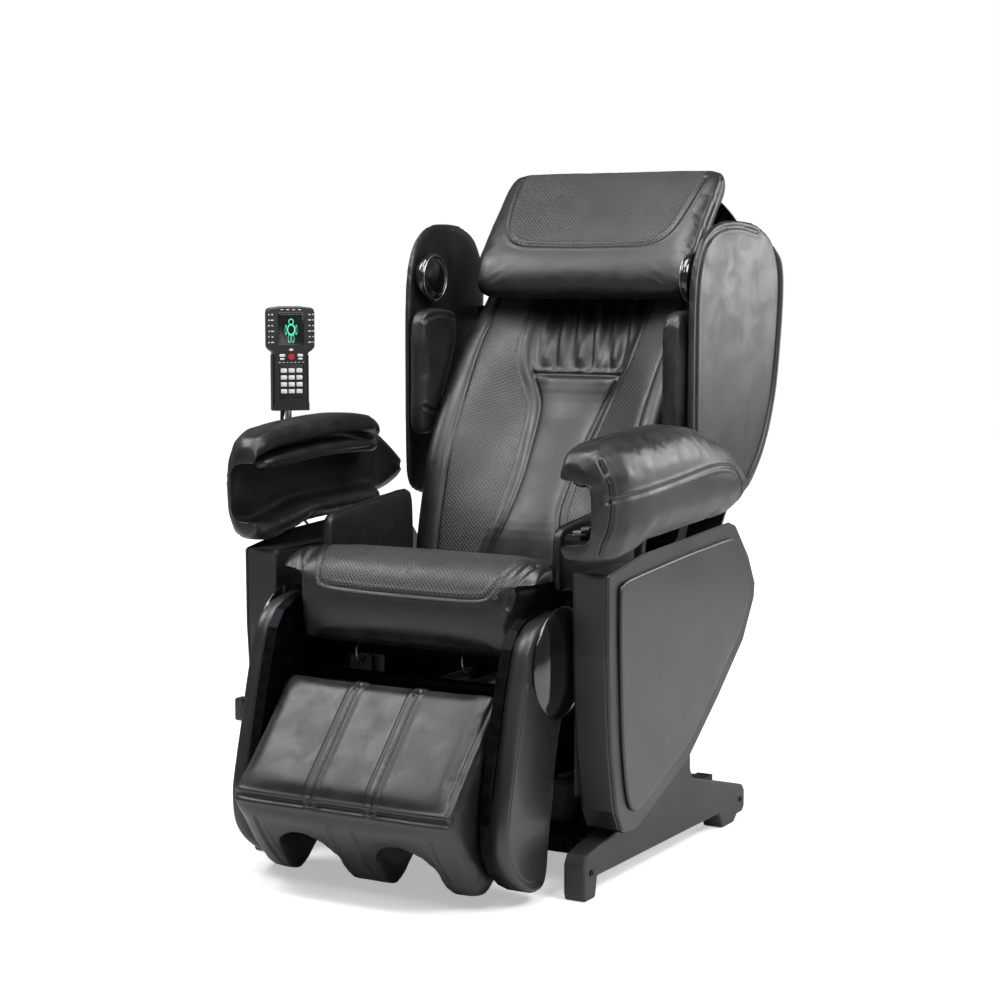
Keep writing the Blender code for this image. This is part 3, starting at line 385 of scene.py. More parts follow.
def set_coordinates(mesh, co):
    mesh.vertices.foreach_set("co", np.ascontiguousarray(co).ravel())
    mesh.update()


def normals(mesh):
    no = np.empty(len(mesh.vertices) * 3)
    mesh.vertex_normals.foreach_get("vector", no)
    return no.reshape(-1, 3)


def inflate(mesh, cap, pressure=4.0, frames=10):
    """Foam under leather: cloth blown up a little from inside, no point moving further than the cap."""
    if cap <= 0.0:
        return mesh
    obj = added("cover", mesh)
    mod = obj.modifiers.new("Cloth", 'CLOTH')
    mod.settings.quality = 3
    mod.settings.mass = 0.3
    mod.settings.use_pressure = True
    mod.settings.uniform_pressure_force = pressure
    mod.settings.effector_weights.gravity = 0.0
    mod.collision_settings.use_collision = False
    mod.point_cache.frame_start, mod.point_cache.frame_end = 1, frames
    before = coordinates(mesh).copy()
    for step in range(1, frames + 1):
        SCENE.frame_set(step)
    graph = bpy.context.evaluated_depsgraph_get()
    blown = bpy.data.meshes.new_from_object(obj.evaluated_get(graph))
    after = coordinates(blown)
    bpy.data.objects.remove(obj, do_unlink=True)
    SCENE.frame_set(1)
    move = after - before
    length = np.linalg.norm(move, axis=1, keepdims=True) + 1e-9
    set_coordinates(blown, before + move / length * cap * np.tanh(length / cap))
    return blown


def upholster(bm, voxel=COVER_VOXEL, cap=0.005, tuck=0.0035, soften=6):
    """Cage to padded cover: even mesh, edges rounded, drawn in, blown up, one subdivision."""
    mesh = applied(bm, ('REMESH', {"mode": 'VOXEL', "voxel_size": voxel, "adaptivity": 0.0}),
                   ('SMOOTH', {"factor": 0.5, "iterations": soften}))
    set_coordinates(mesh, coordinates(mesh) - normals(mesh) * tuck * 1.0)
    mesh = inflate(mesh, cap)
    return applied(mesh, ('SUBSURF', {"levels": 1, "render_levels": 1}))


def sampled(points, pitch=0.002, closed=False):
    """Smooth path through points, evenly sampled (Catmull-Rom)."""
    pts = [Vector(p) for p in points]
    if closed:
        pts = pts[-1:] + pts + pts[:2]
    else:
        pts = [pts[0] * 2 - pts[1]] + pts + [pts[-1] * 2 - pts[-2]]
    out = []
    for p0, p1, p2, p3 in zip(pts, pts[1:], pts[2:], pts[3:]):
        count = max(2, int((p2 - p1).length / pitch))
        for k in range(count):
            t = k / count
            out.append(0.5 * ((2 * p1) + (p2 - p0) * t + (2 * p0 - 5 * p1 + 4 * p2 - p3) * t * t
                              + (3 * p1 - p0 - 3 * p2 + p3) * t ** 3))
    if not closed:
        out.append(pts[-2])
    return out


def surface_of(mesh):
    """Search tree of a cover's surface."""
    bm = bmesh.new()
    bm.from_mesh(mesh)
    tree = BVHTree.FromBMesh(bm)
    bm.free()
    return tree


def on_cover(mesh, paths, lift=0.0):
    """Paths dropped onto the nearest place of a cover, lifted off it a little."""
    tree = surface_of(mesh)
    laid = []
    for path in paths:
        hits = [tree.find_nearest(point) for point in path]
        laid.append([hit[0] + hit[1] * lift for hit in hits])
    return laid


def groove(mesh, paths, depth=0.0025, width=0.0035, swell=0.35):
    """Sewn channel: points near the paths are pulled in, their neighbours stand up a little."""
    line = [p for path in paths for p in path]
    kd = KDTree(len(line))
    for k, point in enumerate(line):
        kd.insert(point, k)
    kd.balance()
    co, no = coordinates(mesh), normals(mesh)
    reach = width * 4.5
    gap = np.array([kd.find(p)[2] for p in co])
    near = gap < reach
    d = gap[near] / width
    push = -depth * np.exp(-d * d) + depth * swell * np.exp(-((d - 2.4) ** 2) / 1.2)
    co[near] += no[near] * push[:, None]
    set_coordinates(mesh, co)


def panel_map(mesh, profile, inside):
    """Flat coordinates (across, along the profile) and a mask for punched panels."""
    line = np.array(profile)
    seg = np.linalg.norm(np.diff(line, axis=0), axis=1)
    arc = np.concatenate([[0.0], np.cumsum(seg)])
    co = coordinates(mesh)
    best = np.full(len(co), 9.0)
    along = np.zeros(len(co))
    for k in range(len(line) - 1):
        a, ab = line[k], line[k + 1] - line[k]
        t = np.clip(((co[:, 1:] - a) @ ab) / max(ab @ ab, 1e-12), 0.0, 1.0)
        gap = np.linalg.norm(co[:, 1:] - (a + t[:, None] * ab), axis=1)
        closer = gap < best
        best[closer] = gap[closer]
        along[closer] = (arc[k] + t * seg[k])[closer]
    flat = np.stack([co[:, 0], along, np.zeros(len(co))], axis=1)
    point_layer(mesh, "panel_flat", 'FLOAT_VECTOR', flat)
    point_layer(mesh, "panel_mask", 'FLOAT', inside(co))


def moved(mesh):
    """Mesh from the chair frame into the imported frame."""
    set_coordinates(mesh, coordinates(mesh) + np.array(SHIFT))
    return mesh


# ---------------------------------------------------------------- stitches by Geometry Nodes, piping by curve bevel
def open_tree(name, sizes):
    """Geometry Nodes tree whose inputs are a geometry, named sizes and a finish; returned with its inputs."""
    tree = bpy.data.node_groups.new(name, 'GeometryNodeTree')
    face = tree.interface
    face.new_socket("Geometry", in_out='INPUT', socket_type='NodeSocketGeometry')
    for label, value in sizes:
        face.new_socket(label, in_out='INPUT', socket_type='NodeSocketFloat').default_value = value
    face.new_socket("Finish", in_out='INPUT', socket_type='NodeSocketMaterial')
    face.new_socket("Geometry", in_out='OUTPUT', socket_type='NodeSocketGeometry')
    return tree, node(tree, "NodeGroupInput").outputs


def close_tree(tree, instances, finish):
    """Instances made real and given their finish, at the tree's end."""
    real = node(tree, "GeometryNodeRealizeInstances", {"Geometry": instances})
    dyed = node(tree, "GeometryNodeSetMaterial", {"Geometry": real.outputs["Geometry"], "Material": finish})
    node(tree, "NodeGroupOutput", {"Geometry": dyed.outputs["Geometry"]})
    return tree


def grown(obj, tree, values):
    """Plain mesh that a tree makes on an object, its inputs set by their identifiers."""
    mod = obj.modifiers.new(tree.name, 'NODES')
    mod.node_group = tree
    for item in tree.interface.items_tree:
        if item.in_out == 'INPUT' and item.name in values:
            mod[item.identifier] = values[item.name]
    return finished_mesh(obj)


def stitch_tree():
    """Thread stitches along a path: resampled by the pitch, one small bead laid along each step."""
    tree, given = open_tree("thread_stitches", (("Pitch", 0.0052), ("Stitch Length", 0.0038), ("Thread", 0.0009)))
    steps = node(tree, "GeometryNodeResampleCurve", {"Curve": given["Geometry"], "Length": given["Pitch"]},
                 mode='LENGTH')
    heading = node(tree, "GeometryNodeInputTangent")
    turn = node(tree, "FunctionNodeAlignRotationToVector", {"Vector": heading.outputs["Tangent"]}, axis='X')
    bead = node(tree, "GeometryNodeMeshUVSphere", {"Segments": 6, "Rings": 4, "Radius": 0.5})
    size = node(tree, "ShaderNodeCombineXYZ", {"X": given["Stitch Length"], "Y": given["Thread"],
                                               "Z": given["Thread"]})
    laid = node(tree, "GeometryNodeInstanceOnPoints",
                {"Points": steps.outputs["Curve"], "Instance": bead.outputs["Mesh"],
                 "Rotation": turn.outputs["Rotation"], "Scale": size.outputs["Vector"]})
    return close_tree(tree, laid.outputs["Instances"], given["Finish"])


STITCH_TREE = stitch_tree()


def curve_of(name, paths, closed=False):
    """Curve object through paths."""
    curve = bpy.data.curves.new(name, 'CURVE')
    curve.dimensions = '3D'
    for path in paths:
        spline = curve.splines.new('POLY')
        spline.points.add(len(path) - 1)
        for point, spot in zip(spline.points, path):
            point.co = (*spot, 1.0)
        spline.use_cyclic_u = closed
    return added(name, curve)


def stitches(name, paths, body):
    """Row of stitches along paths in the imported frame."""
    sizes = {"Pitch": 0.0052, "Stitch Length": 0.0038, "Thread": 0.0010, "Finish": THREAD}
    return finish_piece(name, grown(curve_of("run", paths), STITCH_TREE, sizes), THREAD, body)


def tube(name, paths, radius, mat, body, closed=False):
    """Round cord along paths, such as piping or a bent rod."""
    obj = curve_of("run", paths, closed)
    obj.data.bevel_depth, obj.data.bevel_resolution = radius, 3
    obj.data.use_fill_caps = True
    return finish_piece(name, finished_mesh(obj), mat, body)


def shifted(path):
    """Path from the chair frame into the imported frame."""
    return [Vector(p) + SHIFT for p in path]


# ---------------------------------------------------------------- handset cable
def handset_point(across, out, up):
    """Place on the handset, which is turned half a right angle on its pole."""
    x, y, z = HANDSET_FOOT
    half = math.sqrt(0.5)
    across, up = across * HANDSET_WIDE, up * HANDSET_TALL
    return Vector((x + across * half + out * half, y + across * half - out * half, z + up))


def handset_cable():
    """Round rubber lead from the holder down to the base, its route as in the frame."""
    start = handset_point(-0.016, 0.0235, -0.0046)
    knots = [start, start + Vector((-0.006, 0.004, -0.022)), (-0.4290, -0.052, 0.700), (-0.4270, -0.040, 0.640),
             (-0.4190, -0.032, 0.590), (-0.4000, -0.028, 0.555), (-0.3720, -0.027, 0.535), (-0.3580, -0.027, 0.535)]
    path = shifted(sampled(knots, 0.008)[:-1] + [(-0.3622, -0.027, 0.535)])
    lead = tube("handset_lead", [path], 0.0024, RUBBER, "base")
    for name, at, heading in (("lead_relief_top", 0, 1), ("lead_relief_base", len(path) - 1, -1)):
        spot, ahead = path[at], (path[at + heading * 2] - path[at]).normalized()
        side = ahead.orthogonal().normalized()
        other = ahead.cross(side)
        rings = []
        for k in range(13):
            run = 0.0016 * k
            radius = (0.0048 - 0.00013 * k) - (0.0007 if k % 2 else 0.0)
            rings.append([spot + ahead * run + (side * math.cos(t) + other * math.sin(t)) * radius - SHIFT
                          for t in (2 * math.pi * j / 14 for j in range(14))])
        piece(name, loft(rings), RUBBER, "base")
    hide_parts("remote_cable")


handset_cable()


# ---------------------------------------------------------------- seat
def smooth_outline(points, pitch=0.012):
    """Closed outline, evenly re-sampled along a smooth path."""
    return [(p.x, p.y) for p in sampled([(a, b, 0.0) for a, b in points], pitch, closed=True)]


def seat():
    """Seat cushion with a punched patch and its border seams."""
    profile = smooth_outline([(-0.296, 0.389), (-0.320, 0.400), (-0.330, 0.440), (-0.331, 0.486), (-0.323, 0.514),
                              (-0.303, 0.535), (-0.267, 0.546), (-0.200, 0.541), (-0.100, 0.521), (0.000, 0.505),
                              (0.045, 0.498), (0.055, 0.480), (0.055, 0.410), (0.042, 0.390), (-0.100, 0.389)])
    rings = []
    for x, scale, lift in ((-0.250, 0.52, 1), (-0.247, 0.70, 1), (-0.238, 0.86, 1), (-0.225, 0.95, 1),
                           (-0.209, 0.995, 1), (-0.2045, 0.985, 0), (-0.196, 1.0, 0), (-0.10, 1.0, 0),
                           (0.0, 1.004, 0), (0.10, 1.0, 0), (0.196, 1.0, 0), (0.2045, 0.985, 0), (0.209, 0.995, 1),
                           (0.225, 0.95, 1), (0.238, 0.86, 1), (0.247, 0.70, 1), (0.250, 0.52, 1)):
        ring = []
        for y, z in profile:
            if lift:
                y, z = min(y, -0.228), max(z, 0.5085)
                y, z = -0.300 + (y + 0.300) * scale, 0.5085 + (z - 0.5085) * scale
            else:
                y, z = -0.130 + (y + 0.130) * scale, 0.389 + (z - 0.389) * scale
            ring.append((x, y, z))
        rings.append(ring)
    mesh = upholster(loft(rings), cap=0.006, soften=5)
    border = sampled([(-0.196, -0.200, 0.541), (-0.192, -0.250, 0.545), (-0.180, -0.290, 0.541),
                      (-0.172, -0.313, 0.525), (-0.166, -0.326, 0.502), (-0.148, -0.330, 0.491),
                      (-0.060, -0.331, 0.487),
                      (0.060, -0.331, 0.486), (0.148, -0.330, 0.488), (0.170, -0.326, 0.502),
                      (0.182, -0.311, 0.527), (0.191, -0.288, 0.541), (0.197, -0.240, 0.545), (0.198, -0.200, 0.541)])
    rear = sampled([(-0.196, -0.200, 0.541), (0.0, -0.196, 0.542), (0.198, -0.200, 0.541)])
    ends = [sampled([(s * 0.202, -0.326, 0.478), (s * 0.208, -0.318, 0.508), (s * 0.218, -0.303, 0.532),
                     (s * 0.228, -0.275, 0.540)]) for s in (-1, 1)]
    laid = on_cover(mesh, [border, rear] + ends)
    groove(mesh, laid[:2], 0.0024, 0.0030)
    groove(mesh, laid[2:], 0.0030, 0.0040)
    panel_map(mesh, [(0.0, 0.543), (-0.200, 0.541), (-0.267, 0.546), (-0.303, 0.535), (-0.323, 0.514),
                     (-0.331, 0.486), (-0.331, 0.400)],
              lambda co: ((np.abs(co[:, 0] - 0.008) < 0.176 + np.clip((co[:, 2] - 0.50) * 0.35, 0, 0.02))
                          & (co[:, 2] > 0.490) & (co[:, 1] < -0.200)).astype(float))
    cover = finish_piece("seat_cover", moved(mesh), PERFORATED, "base", ("seat_cushion",))
    offset = sampled([(-0.203, -0.200, 0.541), (-0.199, -0.252, 0.545), (-0.187, -0.294, 0.540),
                      (-0.178, -0.317, 0.522), (-0.170, -0.329, 0.498), (-0.148, -0.331, 0.484),
                      (-0.060, -0.331, 0.480), (0.060, -0.331, 0.479), (0.148, -0.331, 0.481), (0.175, -0.329, 0.498),
                      (0.189, -0.315, 0.525), (0.198, -0.291, 0.541), (0.204, -0.240, 0.545), (0.205, -0.200, 0.541)])
    row = on_cover(chair_frame_copy(cover), [offset], STITCH_LIFT)
    stitches("seat_patch_stitches", [shifted(p) for p in row], "base")


def chair_frame_copy(obj):
    """Copy of a finished cover, back in the chair frame, to lay paths on."""
    mesh = obj.data.copy()
    set_coordinates(mesh, coordinates(mesh) - np.array(SHIFT))
    return mesh


def crowned_pad(name, outline, centre, across, crown, side, body, replaces, cap, lean=0.0,
                voxel=COVER_VOXEL, seams=(), stitched=()):
    """Pad with a (y, z) outline between two planes, crowned on both faces; lean follows the wing's flare."""
    shape = smooth_outline(outline, 0.014)
    inner, outer = across
    middle, half = (inner + outer) / 2, (outer - inner) / 2
    rings = []
    for level, shrink in ((-1.0, 0.35), (-1.0, 0.75), (-0.97, 0.93), (-0.72, 0.985), (0.0, 1.0), (0.72, 0.985),
                          (0.97, 0.93), (1.0, 0.75), (1.0, 0.35)):
        ring = []
        bulge = crown * (1.0 - shrink ** 2) * (1 if level > 0 else -1) if abs(level) > 0.9 else 0.0
        for y, z in shape:
            y2, z2 = centre[0] + (y - centre[0]) * shrink, centre[1] + (z - centre[1]) * shrink
            ring.append((side * (middle + half * level + bulge + lean * (y2 - WING_ROOT)), y2, z2))
        rings.append(ring)
    mesh = upholster(loft(rings), voxel=voxel, cap=cap, tuck=0.002, soften=3)
    laid = on_cover(mesh, [sampled(p) for p in seams])
    if laid:
        groove(mesh, laid, 0.0024, 0.0032)
    rows = on_cover(mesh, [sampled(p) for p in stitched], STITCH_LIFT)
    cover = finish_piece(name, moved(mesh), HIDE, body, replaces)
    if rows:
        stitches(name + "_stitches", [shifted(p) for p in rows], body)
    return cover


HIP = [(-0.212, 0.486), (-0.215, 0.568), (-0.206, 0.588), (-0.188, 0.597), (-0.060, 0.610), (0.043, 0.618),
       (0.062, 0.610), (0.068, 0.590), (0.068, 0.484), (0.030, 0.455), (0.026, 0.394), (-0.163, 0.394), (-0.178, 0.484)]
WING = [(0.170, 0.608), (0.162, 0.640), (0.160, 0.720), (0.160, 0.800), (0.160, 0.880), (0.162, 0.960),
        (0.174, 1.030), (0.205, 1.078), (0.260, 1.104), (0.330, 1.110), (0.405, 1.102), (0.458, 1.078), (0.489, 1.038),
        (0.497, 0.990), (0.488, 0.880), (0.466, 0.774), (0.428, 0.690), (0.380, 0.630), (0.330, 0.594),
        (0.270, 0.582), (0.205, 0.588)]
SHOULDER = [(0.152, 0.707), (0.144, 0.732), (0.143, 0.815), (0.144, 0.898), (0.154, 0.933), (0.180, 0.946),
            (0.222, 0.946), (0.260, 0.942), (0.273, 0.928), (0.268, 0.870), (0.236, 0.800), (0.204, 0.740),
            (0.184, 0.708)]


def wing_face(side, y):
    """Middle of a wing's thickness at a depth, as the wing flares."""
    return side * (WING_MIDDLE + WING_FLARE * (y - WING_ROOT))


def side_pads():
    """Hip wings, head wings with their rear strips, and shoulder cushions."""
    for side, word in ((-1, "left"), (1, "right")):
        top = [(side * 0.222, -0.205, 0.590), (side * 0.222, -0.130, 0.602), (side * 0.222, 0.040, 0.617)]
        hip = crowned_pad("hip_wing_cover_" + word, HIP, (-0.060, 0.510), (0.2155, 0.2400), 0.003, side, "base",
                          ("hip_wing_" + word,), cap=0.0)
        tube("hip_wing_piping_" + word, [shifted(on_cover(chair_frame_copy(hip), [sampled(top, 0.006)], 0.0006)[0])],
             0.0017, HIDE, "base")
        rim = [(wing_face(side, y), y, z) for y, z in
               ((0.178, 0.640), (0.176, 0.800), (0.178, 0.960), (0.190, 1.026), (0.216, 1.066), (0.262, 1.088),
                (0.330, 1.094), (0.400, 1.086))]
        rim2 = [(x, y + (0.006 if z < 1.03 else 0.003), z - (0.0 if z < 1.03 else 0.006)) for x, y, z in rim]
        crowned_pad("wing_cover_" + word, WING, (0.330, 0.850), (0.2845, 0.3015), 0.004, side, "backrest",
                    ("wing_" + word,), cap=0.0, lean=WING_FLARE, voxel=0.006, seams=(rim,), stitched=(rim2,))
        # moulded strip that closes the rear edge of the wing
        edge = [(0.468, 1.060), (0.489, 1.030), (0.4965, 0.985), (0.4895, 0.900), (0.470, 0.790), (0.434, 0.700),
                (0.388, 0.640), (0.340, 0.603)]
        path = sampled([(wing_face(side, y), y - 0.001, z) for y, z in edge], 0.008)
        rings = []
        for k, p in enumerate(path):
            ahead = (path[min(k + 1, len(path) - 1)] - path[max(k - 1, 0)]).normalized()
            across = ahead.cross(Vector((1.0, 0.0, 0.0))).normalized()
            taper = min(1.0, (k + 0.6) / 4.0, (len(path) - k - 0.4) / 4.0)
            ring = []
            for j in range(12):
                turn = 2 * math.pi * j / 12
                ring.append(p + across * 0.0075 * taper * math.cos(turn) + Vector((side * 0.0072, 0, 0)) * taper
                            * math.sin(turn))
            rings.append(ring)
        piece("wing_edge_strip_" + word, loft(rings), SATIN_ABS, "backrest")
        fold = [(side * 0.2420, 0.150, 0.925), (side * 0.2420, 0.205, 0.934), (side * 0.2420, 0.262, 0.925)]
        fold2 = [(side * 0.2420, 0.150, 0.760), (side * 0.2420, 0.178, 0.752), (side * 0.2420, 0.205, 0.770)]
        crowned_pad("shoulder_cushion_" + word, SHOULDER, (0.200, 0.830), (0.2440, 0.2800), 0.004, side, "backrest",
                    ("shoulder_pad_" + word,), cap=0.005, seams=(fold, fold2))


# ---------------------------------------------------------------- back pad
STRIP_FRONT = [(0.450, 0.076), (0.550, 0.095), (0.680, 0.129), (0.770, 0.181), (0.880, 0.267), (0.960, 0.360),
               (1.050, 0.425), (1.150, 0.487)]
CHANNEL_FRONT = [(0.450, 0.078), (0.560, 0.112), (0.690, 0.220), (0.770, 0.286), (0.865, 0.313), (0.960, 0.378),
                 (1.050, 0.436), (1.150, 0.490)]
BAND_INNER = [(0.450, 0.082), (0.502, 0.078), (0.560, 0.052), (0.634, 0.049), (0.700, 0.058), (0.760, 0.066),
              (0.790, 0.074), (0.820, 0.096), (0.860, 0.106), (0.930, 0.112), (1.110, 0.118)]
BAND_OUTER = [(0.450, 0.181), (0.627, 0.185), (0.790, 0.190), (0.935, 0.197), (1.110, 0.200)]


def back_cover():
    """Front of the back as one sheet: two punched bands, the middle pad, gathers above it, soft outer rolls."""
    def eased(table, z):
        keys, values = zip(*table)
        spread = [np.interp(z + d, keys, values) for d in (-0.03, -0.015, 0.0, 0.015, 0.03)]
        return sum(spread) / 5.0

    xs = np.linspace(-0.233, 0.233, 187)
    zs = np.linspace(0.466, 1.100, 225)
    x, z = np.meshgrid(xs, zs)
    strip, channel = eased(STRIP_FRONT, z), eased(CHANNEL_FRONT, z)
    inner, outer = eased(BAND_INNER, z), eased(BAND_OUTER, z)
    ax = np.abs(x)
    part = np.clip((ax - 0.055) / 0.165, 0.0, 1.0)
    y = channel + (strip - channel) * (part * part * (3 - 2 * part))
    across = np.clip((ax - inner) / (outer - inner), 0.0, 1.0)
    y -= 0.0045 * np.sqrt(np.clip(1 - (2 * across - 1) ** 2, 0, 1)) * ((ax > inner) & (ax < outer))
    roll = np.clip((ax - outer) / (0.233 - outer), 0.0, 1.0)
    y += np.where(ax > outer, -0.005 * np.sqrt(np.clip(1 - (2 * roll - 1) ** 2, 0, 1)) + 0.011 * roll ** 5, 0.0)
    # middle pad and, above its top edge, leather gathered into upright folds
    low = z < 0.818
    middle = np.clip(ax / np.maximum(inner - 0.004, 0.01), 0.0, 1.0)
    edge = np.clip((0.818 - z) / 0.030, 0.0, 1.0)
    y -= np.where((ax < inner) & low, 0.009 * np.sqrt(1 - middle ** 2) * np.sqrt(np.clip(1 - (1 - edge) ** 2, 0, 1)), 0)
    fade = np.clip((z - 0.822) / 0.03, 0, 1) * np.clip((inner - ax) / 0.020, 0, 1)
    folds = (np.sin(x * 168.0 + 2.1 * np.sin(z * 21.0) + 0.7) * 0.6 + np.sin(x * 97.0 - z * 26.0 + 1.9) * 0.5
             + np.sin(x * 260.0 + z * 12.0) * 0.25)
    y += np.where((ax < inner) & ~low, 0.006 * folds * fade + 0.006 * np.clip(fade * 3, 0, 1), 0.0)
    for gap, depth, width in ((np.abs(ax - inner), 0.0040, 0.0035), (np.abs(ax - outer), 0.0042, 0.0035),
                              (np.where(ax < inner, np.abs(z - 0.820), 1.0), 0.0050, 0.0040),
                              (np.abs(ax - (inner + 0.017)), 0.0022, 0.0022)):
        y += depth * np.exp(-(gap / width) ** 2)
    y += 0.004 * np.exp(-((z - 0.466) / 0.008) ** 2)
    rows, cols = x.shape
    front = np.stack([x, y, z], axis=-1).reshape(-1, 3)
    base_y = channel + (strip - channel) * part + 0.0262
    rear = np.stack([x, np.maximum(base_y, y + 0.006), z], axis=-1).reshape(-1, 3)
    bm = bmesh.new()
    grid = [[bm.verts.new(p) for p in block] for block in (front, rear)]
    for r in range(rows - 1):
        for c in range(cols - 1):
            k = r * cols + c
            bm.faces.new((grid[0][k], grid[0][k + 1], grid[0][k + cols + 1], grid[0][k + cols]))
            bm.faces.new((grid[1][k], grid[1][k + cols], grid[1][k + cols + 1], grid[1][k + 1]))
    border = ([(0, c) for c in range(cols)] + [(r, cols - 1) for r in range(1, rows)]
              + [(rows - 1, c) for c in range(cols - 2, -1, -1)] + [(r, 0) for r in range(rows - 2, 0, -1)])
    for (r0, c0), (r1, c1) in zip(border, border[1:] + border[:1]):
        a, b = r0 * cols + c0, r1 * cols + c1
        bm.faces.new((grid[0][b], grid[0][a], grid[1][a], grid[1][b]))
    mesh = bpy.data.meshes.new("back")
    bmesh.ops.recalc_face_normals(bm, faces=bm.faces)
    bm.to_mesh(mesh)
    bm.free()

    def in_band(co):
        a = np.abs(co[:, 0])
        lo, hi = eased(BAND_INNER, co[:, 2]), eased(BAND_OUTER, co[:, 2])
        return ((a > lo + 0.021) & (a < hi - 0.005)).astype(float)

    profile = [(float(eased(STRIP_FRONT, v)), float(v)) for v in np.linspace(0.45, 1.11, 40)]
    panel_map(mesh, profile, in_band)
    lines = []
    for table, inset in ((BAND_INNER, 0.0115), (BAND_INNER, 0.0225), (BAND_OUTER, -0.0055)):
        for side in (-1, 1):
            lines.append([Vector((side * (float(eased(table, v)) + inset), 0.0, float(v)))
                          for v in np.linspace(0.475, 1.02, 240)])
    tree = surface_of(mesh)
    laid = []
    for line in lines:
        hits = [tree.ray_cast(Vector((p.x, -0.5, p.z)), Vector((0.0, 1.0, 0.0))) for p in line]
        laid.append([hit[0] + hit[1] * STITCH_LIFT for hit in hits])
    cover = finish_piece("back_cover", moved(mesh), PERFORATED, "backrest", ("back_pad",))
    stitches("back_band_stitches", [shifted(p) for p in laid], "backrest")


# ---------------------------------------------------------------- head pillow
def head_pillow():
    """Pillow with a punched patch on its sloping face."""
    outline = smooth_outline([(0.318, 0.964), (0.299, 0.972), (0.289, 0.992), (0.301, 1.030), (0.326, 1.064),
                              (0.350, 1.095), (0.405, 1.155), (0.436, 1.186), (0.458, 1.200), (0.478, 1.201),
                              (0.489, 1.189), (0.482, 1.165), (0.452, 1.128), (0.400, 1.060), (0.362, 0.998),
                              (0.342, 0.970)], 0.010)
    rings = []
    for x, scale in ((-0.224, 0.62), (-0.222, 0.82), (-0.214, 0.94), (-0.194, 0.985), (-0.135, 1.0), (-0.06, 1.0),
                     (0.0, 1.0), (0.06, 1.0), (0.135, 1.0), (0.194, 0.985), (0.214, 0.94), (0.222, 0.82),
                     (0.224, 0.62)):
        rings.append([(x * 1.015, 0.405 + (y - 0.405) * scale * 1.04, 1.098 + (z - 1.098) * scale * 1.045)
                      for y, z in outline])
    mesh = upholster(loft(rings), cap=0.006, tuck=0.002, soften=4)
    half = [(0.0, 0.322, 1.059), (0.060, 0.322, 1.060), (0.120, 0.324, 1.062), (0.152, 0.330, 1.070),
            (0.172, 0.345, 1.088), (0.183, 0.370, 1.116), (0.191, 0.405, 1.154), (0.196, 0.440, 1.188)]
    patch = sampled([(-x, y, z) for x, y, z in half[:0:-1]] + half)
    outer = sampled([(-x * 1.045, y - 0.004, z - 0.006) for x, y, z in half[:0:-1]]
                    + [(x * 1.045, y - 0.004, z - 0.006) for x, y, z in half])
    sides = [sampled([(s * 0.214, 0.300, 0.990), (s * 0.216, 0.330, 1.040), (s * 0.217, 0.400, 1.120),
                      (s * 0.217, 0.460, 1.190)]) for s in (-1, 1)]
    laid = on_cover(mesh, [patch] + sides)
    groove(mesh, laid[:1], 0.0024, 0.0030)
    groove(mesh, laid[1:], 0.0018, 0.0030)

    def in_patch(co):
        limit = np.interp(co[:, 2], [1.063, 1.070, 1.088, 1.116, 1.154, 1.190],
                          [0.13, 0.150, 0.170, 0.181, 0.189, 0.194])
        return ((np.abs(co[:, 0]) < limit - 0.003) & (co[:, 2] > 1.063)
                & (co[:, 1] - 0.30 < (co[:, 2] - 1.00) * 1.05)).astype(float)

    panel_map(mesh, [(0.289, 0.992), (0.301, 1.030), (0.326, 1.064), (0.350, 1.095), (0.405, 1.155), (0.436, 1.186),
                     (0.458, 1.200)], in_patch)
    rows = on_cover(mesh, [outer], STITCH_LIFT)
    cover = finish_piece("pillow_cover", moved(mesh), PERFORATED, "pillow", ("head_pillow",))
    stitches("pillow_stitches", [shifted(p) for p in rows], "pillow")


# ---------------------------------------------------------------- leg rest pad
def cut_away(mesh, tools):
    """Exact difference of a mesh and the trough forms."""
    made = [added("work", as_mesh(source)) for source in [mesh] + tools]
    for tool in made[1:]:
        mod = made[0].modifiers.new("cut", 'BOOLEAN')
        mod.object, mod.operation, mod.solver = tool, 'DIFFERENCE', 'EXACT'
    graph = bpy.context.evaluated_depsgraph_get()
    graph.update()
    result = bmesh.new()
    result.from_mesh(made[0].evaluated_get(graph).to_mesh())
    for obj in made:
        bpy.data.objects.remove(obj, do_unlink=True)
    return result


